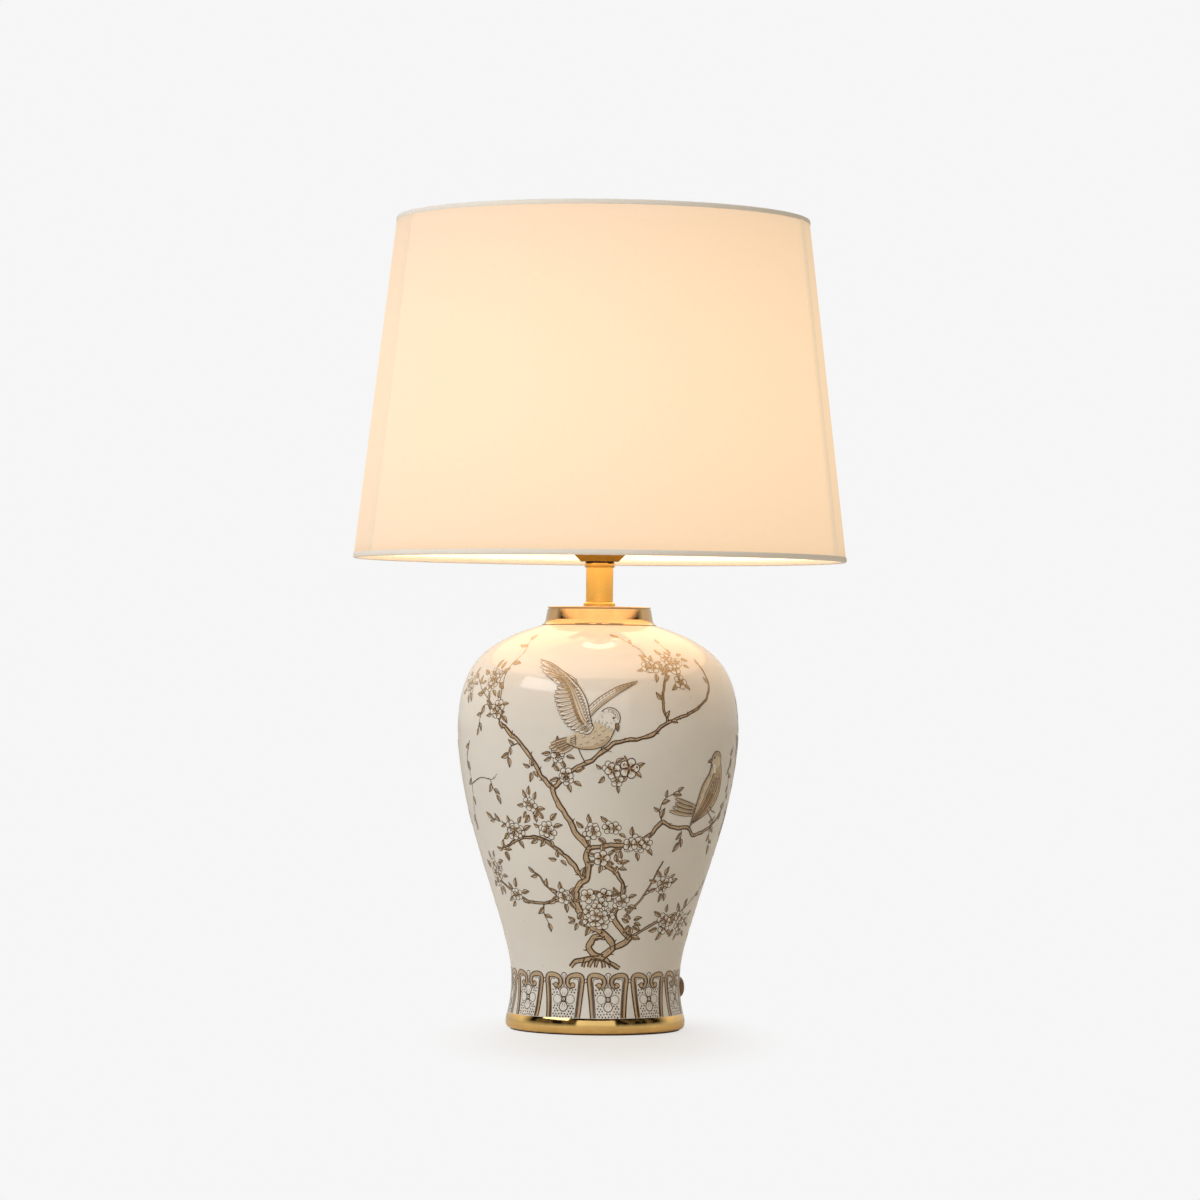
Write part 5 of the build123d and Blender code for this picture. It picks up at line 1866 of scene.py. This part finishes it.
@dataclass
class Studio:
    """The floor, the pale surroundings, the soft light and the camera."""

    backdrop: Colour = (0.922, 0.922, 0.922, 1.0)
    floor_half: float = 40.0
    shadow_centre: Triple = (0.01, -0.10, 0.0)
    shadow_reach: Triple = (0.135, 0.30, 1.0)
    shadow_core: float = 0.15
    shadow_share: float = 0.42
    floor_colour: Colour = (0.84, 0.80, 0.73, 1.0)
    floor_mirrored: float = 0.08
    mirrored_wall: Colour = (0.92, 0.83, 0.71, 1.0)
    wall_turns: Point = (1.62, 1.95)
    mirrored_window: Colour = (3.4, 3.3, 3.2, 1.0)
    window_pane: Pane = Pane(-1.0, 0.32, 0.55, 0.08)
    mirrored_front: Colour = (1.0, 0.97, 0.92, 1.0)
    front_pane: Pane = Pane(0.02, 0.42, 0.26, 0.22)
    pane_edges: Point = (0.05, 0.03)
    ceiling: Point = (0.7, 0.85)
    clutter_colour: Colour = (1.0, 0.82, 0.6, 1.0)
    clutter_stretch: Triple = (5.0, 5.0, 2.0)
    clutter_levels: Point = (0.01, 0.16)
    clutter_range: Point = (0.42, 0.64)
    horizon: Colour = (0.62, 0.60, 0.56, 1.0)
    horizon_range: Point = (0.0, 0.22)
    ambient: Colour = (1.0, 0.98, 0.965, 1.0)
    ambient_right: Colour = (1.0, 0.87, 0.69, 1.0)
    ambient_level: float = 0.56
    ambient_lean: float = 0.32
    tint_range: Point = (-0.8, 0.8)
    window_place: Triple = (-1.55, -1.75, 1.75)
    window_aim: Triple = (0.0, 0.0, 0.3)
    window_size: float = 2.0
    window_power: float = 29.0
    window_colour: Triple = (0.95, 0.98, 1.0)
    lens: float = 135.0
    sensor: float = 36.0
    clip_end: float = 200.0
    camera_place: Triple = (0.0004, -3.24, 0.265)
    tilt: float = 0.764
    roll: float = 0.6

    def floor(self) -> None:
        """Lay a pale floor that looks like the backdrop and keeps a soft shadow round the lamp."""
        h = self.floor_half
        mesh = bpy.data.meshes.new("floor")
        mesh.from_pydata([(-h, -h, 0.0), (h, -h, 0.0), (h, h, 0.0), (-h, h, 0.0)], [], [(0, 1, 2, 3)])
        material = bpy.data.materials.new("floor_paper")
        material.use_nodes = True
        graph = NodeGraph(material.node_tree)
        near = self.shadow(graph)
        paper = graph.add("ShaderNodeBsdfDiffuse", {"Color": self.floor_colour})
        flat = graph.add("ShaderNodeEmission", {"Color": self.backdrop, "Strength": 1.0})
        path = graph.add("ShaderNodeLightPath")
        seen = graph.maths("MULTIPLY", graph.seen(path), graph.maths("SUBTRACT", 1.0, near))
        afar = graph.maths("SUBTRACT", 1.0, graph.maths("DIVIDE", near, self.shadow_share))
        mirrored = graph.maths("MULTIPLY", path.outputs["Is Glossy Ray"], self.floor_mirrored)
        amount = graph.maths("MAXIMUM", seen, graph.maths("MULTIPLY", mirrored, afar))
        both = graph.add("ShaderNodeMixShader", {0: amount, 1: paper.outputs[0], 2: flat.outputs[0]})
        graph.add("ShaderNodeOutputMaterial", {"Surface": both.outputs[0]})
        mesh.materials.append(material)
        floor = bpy.data.objects.new("floor", mesh)
        bpy.context.scene.collection.objects.link(floor)

    def shadow(self, graph: NodeGraph) -> Socket:
        """Return how much of the shadow shows: an oval round the lamp that fades outwards.

        Args:
            graph: The floor's nodes.

        Returns:
            The shadow's share, from 0 far away to shadow_share at its core.
        """
        oval = graph.vector("SUBTRACT", graph.place(), self.shadow_centre)
        oval = graph.vector("DIVIDE", oval, self.shadow_reach)
        off = graph.add("ShaderNodeVectorMath", {0: oval}, operation="LENGTH").outputs["Value"]
        return graph.add(
            "ShaderNodeMapRange",
            {"Value": off, "From Min": self.shadow_core, "To Min": self.shadow_share, "To Max": 0.0},
            interpolation_type="SMOOTHSTEP",
        ).outputs["Result"]

    def room(self, graph: NodeGraph) -> Socket:
        """Return what shiny pieces mirror: pale at the back, dim in front, with a window near the camera.

        Args:
            graph: The world's nodes.

        Returns:
            The mirrored colour.
        """
        way = graph.add("ShaderNodeTexCoord").outputs["Generated"]
        axes = graph.axes(way)
        turn = graph.maths("ARCTAN2", axes["X"], graph.maths("MULTIPLY", axes["Y"], -1.0))
        clutter = graph.noise(graph.stretched(way, self.clutter_stretch), 1.0, 2.0)
        dim = graph.spread(clutter, *self.clutter_levels, *self.clutter_range)
        wall = graph.spread(graph.maths("ABSOLUTE", turn), 0.0, 1.0, *self.wall_turns)
        front, window = (
            graph.maths(
                "MULTIPLY",
                graph.within(turn, pane.turn, pane.half_wide, self.pane_edges[0]),
                graph.within(axes["Z"], pane.height, pane.half_tall, self.pane_edges[1]),
            )
            for pane in (self.front_pane, self.window_pane)
        )
        lit = graph.maths("MAXIMUM", front, graph.spread(axes["Z"], 0.0, 1.0, *self.ceiling))
        tone = graph.mix(lit, graph.mix(dim, BLACK, self.clutter_colour), self.mirrored_front)
        tone = graph.mix(window, tone, self.mirrored_window)
        tone = graph.mix(wall, tone, self.mirrored_wall)
        return graph.mix(graph.spread(axes["Z"], 1.0, 0.0, *self.horizon_range), tone, self.horizon)

    def surroundings(self) -> None:
        """Fill the world with soft light, a little stronger from the left, and pale to the eye."""
        world = bpy.data.worlds.new("studio")
        world.use_nodes = True
        bpy.context.scene.world = world
        graph = NodeGraph(world.node_tree)
        across = graph.axes(graph.add("ShaderNodeTexCoord").outputs["Generated"])["X"]
        strong, weak = (self.ambient_level * (1.0 + lean) for lean in (self.ambient_lean, -self.ambient_lean))
        level = graph.spread(across, strong, weak, -1.0, 1.0)
        tint = graph.mix(graph.spread(across, 0.0, 1.0, *self.tint_range), self.ambient, self.ambient_right)
        soft = graph.mix(level, BLACK, tint)
        path = graph.add("ShaderNodeLightPath")
        light = graph.mix(path.outputs["Is Glossy Ray"], soft, self.room(graph))
        colour = graph.mix(graph.seen(path), light, self.backdrop)
        sky = graph.add("ShaderNodeBackground", {"Color": colour, "Strength": 1.0})
        graph.add("ShaderNodeOutputWorld", {"Surface": sky.outputs[0]})

    def window(self) -> None:
        """Hang a large soft light at the left, aimed at the middle of the lamp."""
        lamp = bpy.data.lights.new("window", "AREA")
        lamp.shape = "RECTANGLE"
        lamp.size, lamp.size_y = self.window_size, self.window_size
        lamp.energy = self.window_power
        lamp.color = self.window_colour
        light = bpy.data.objects.new("window", lamp)
        light.location = self.window_place
        light.visible_glossy = False
        aim = Vector(self.window_aim) - Vector(self.window_place)
        light.rotation_euler = aim.to_track_quat("-Z", "Y").to_euler()
        bpy.context.scene.collection.objects.link(light)

    def camera(self) -> None:
        """Place the camera at the photograph's angle, with its slight tilt and roll."""
        data = bpy.data.cameras.new("camera")
        data.lens = self.lens
        data.sensor_width = self.sensor
        data.clip_end = self.clip_end
        camera = bpy.data.objects.new("camera", data)
        tilt = Matrix.Rotation(math.radians(90.0 + self.tilt), 4, "X")
        roll = Matrix.Rotation(math.radians(self.roll), 4, "Z")
        camera.matrix_world = Matrix.Translation(self.camera_place) @ (tilt @ roll)
        bpy.context.scene.collection.objects.link(camera)
        bpy.context.scene.camera = camera

    def build(self) -> None:
        """Set the stage."""
        bpy.context.scene.view_settings.view_transform = "Standard"
        self.floor()
        self.surroundings()
        self.window()
        self.camera()


def main() -> None:
    """Dress the lamp, build its new pieces and set the studio."""
    logging.basicConfig(level=logging.INFO, format="%(name)s: %(message)s")
    Studio().build()
    dress_nodes()
    pieces = [*JarPrint().build(), *Shade().build(), BulbThread().build()]
    LOG.info("%d new pieces", len(pieces))


if __name__ == "__main__":
    main()
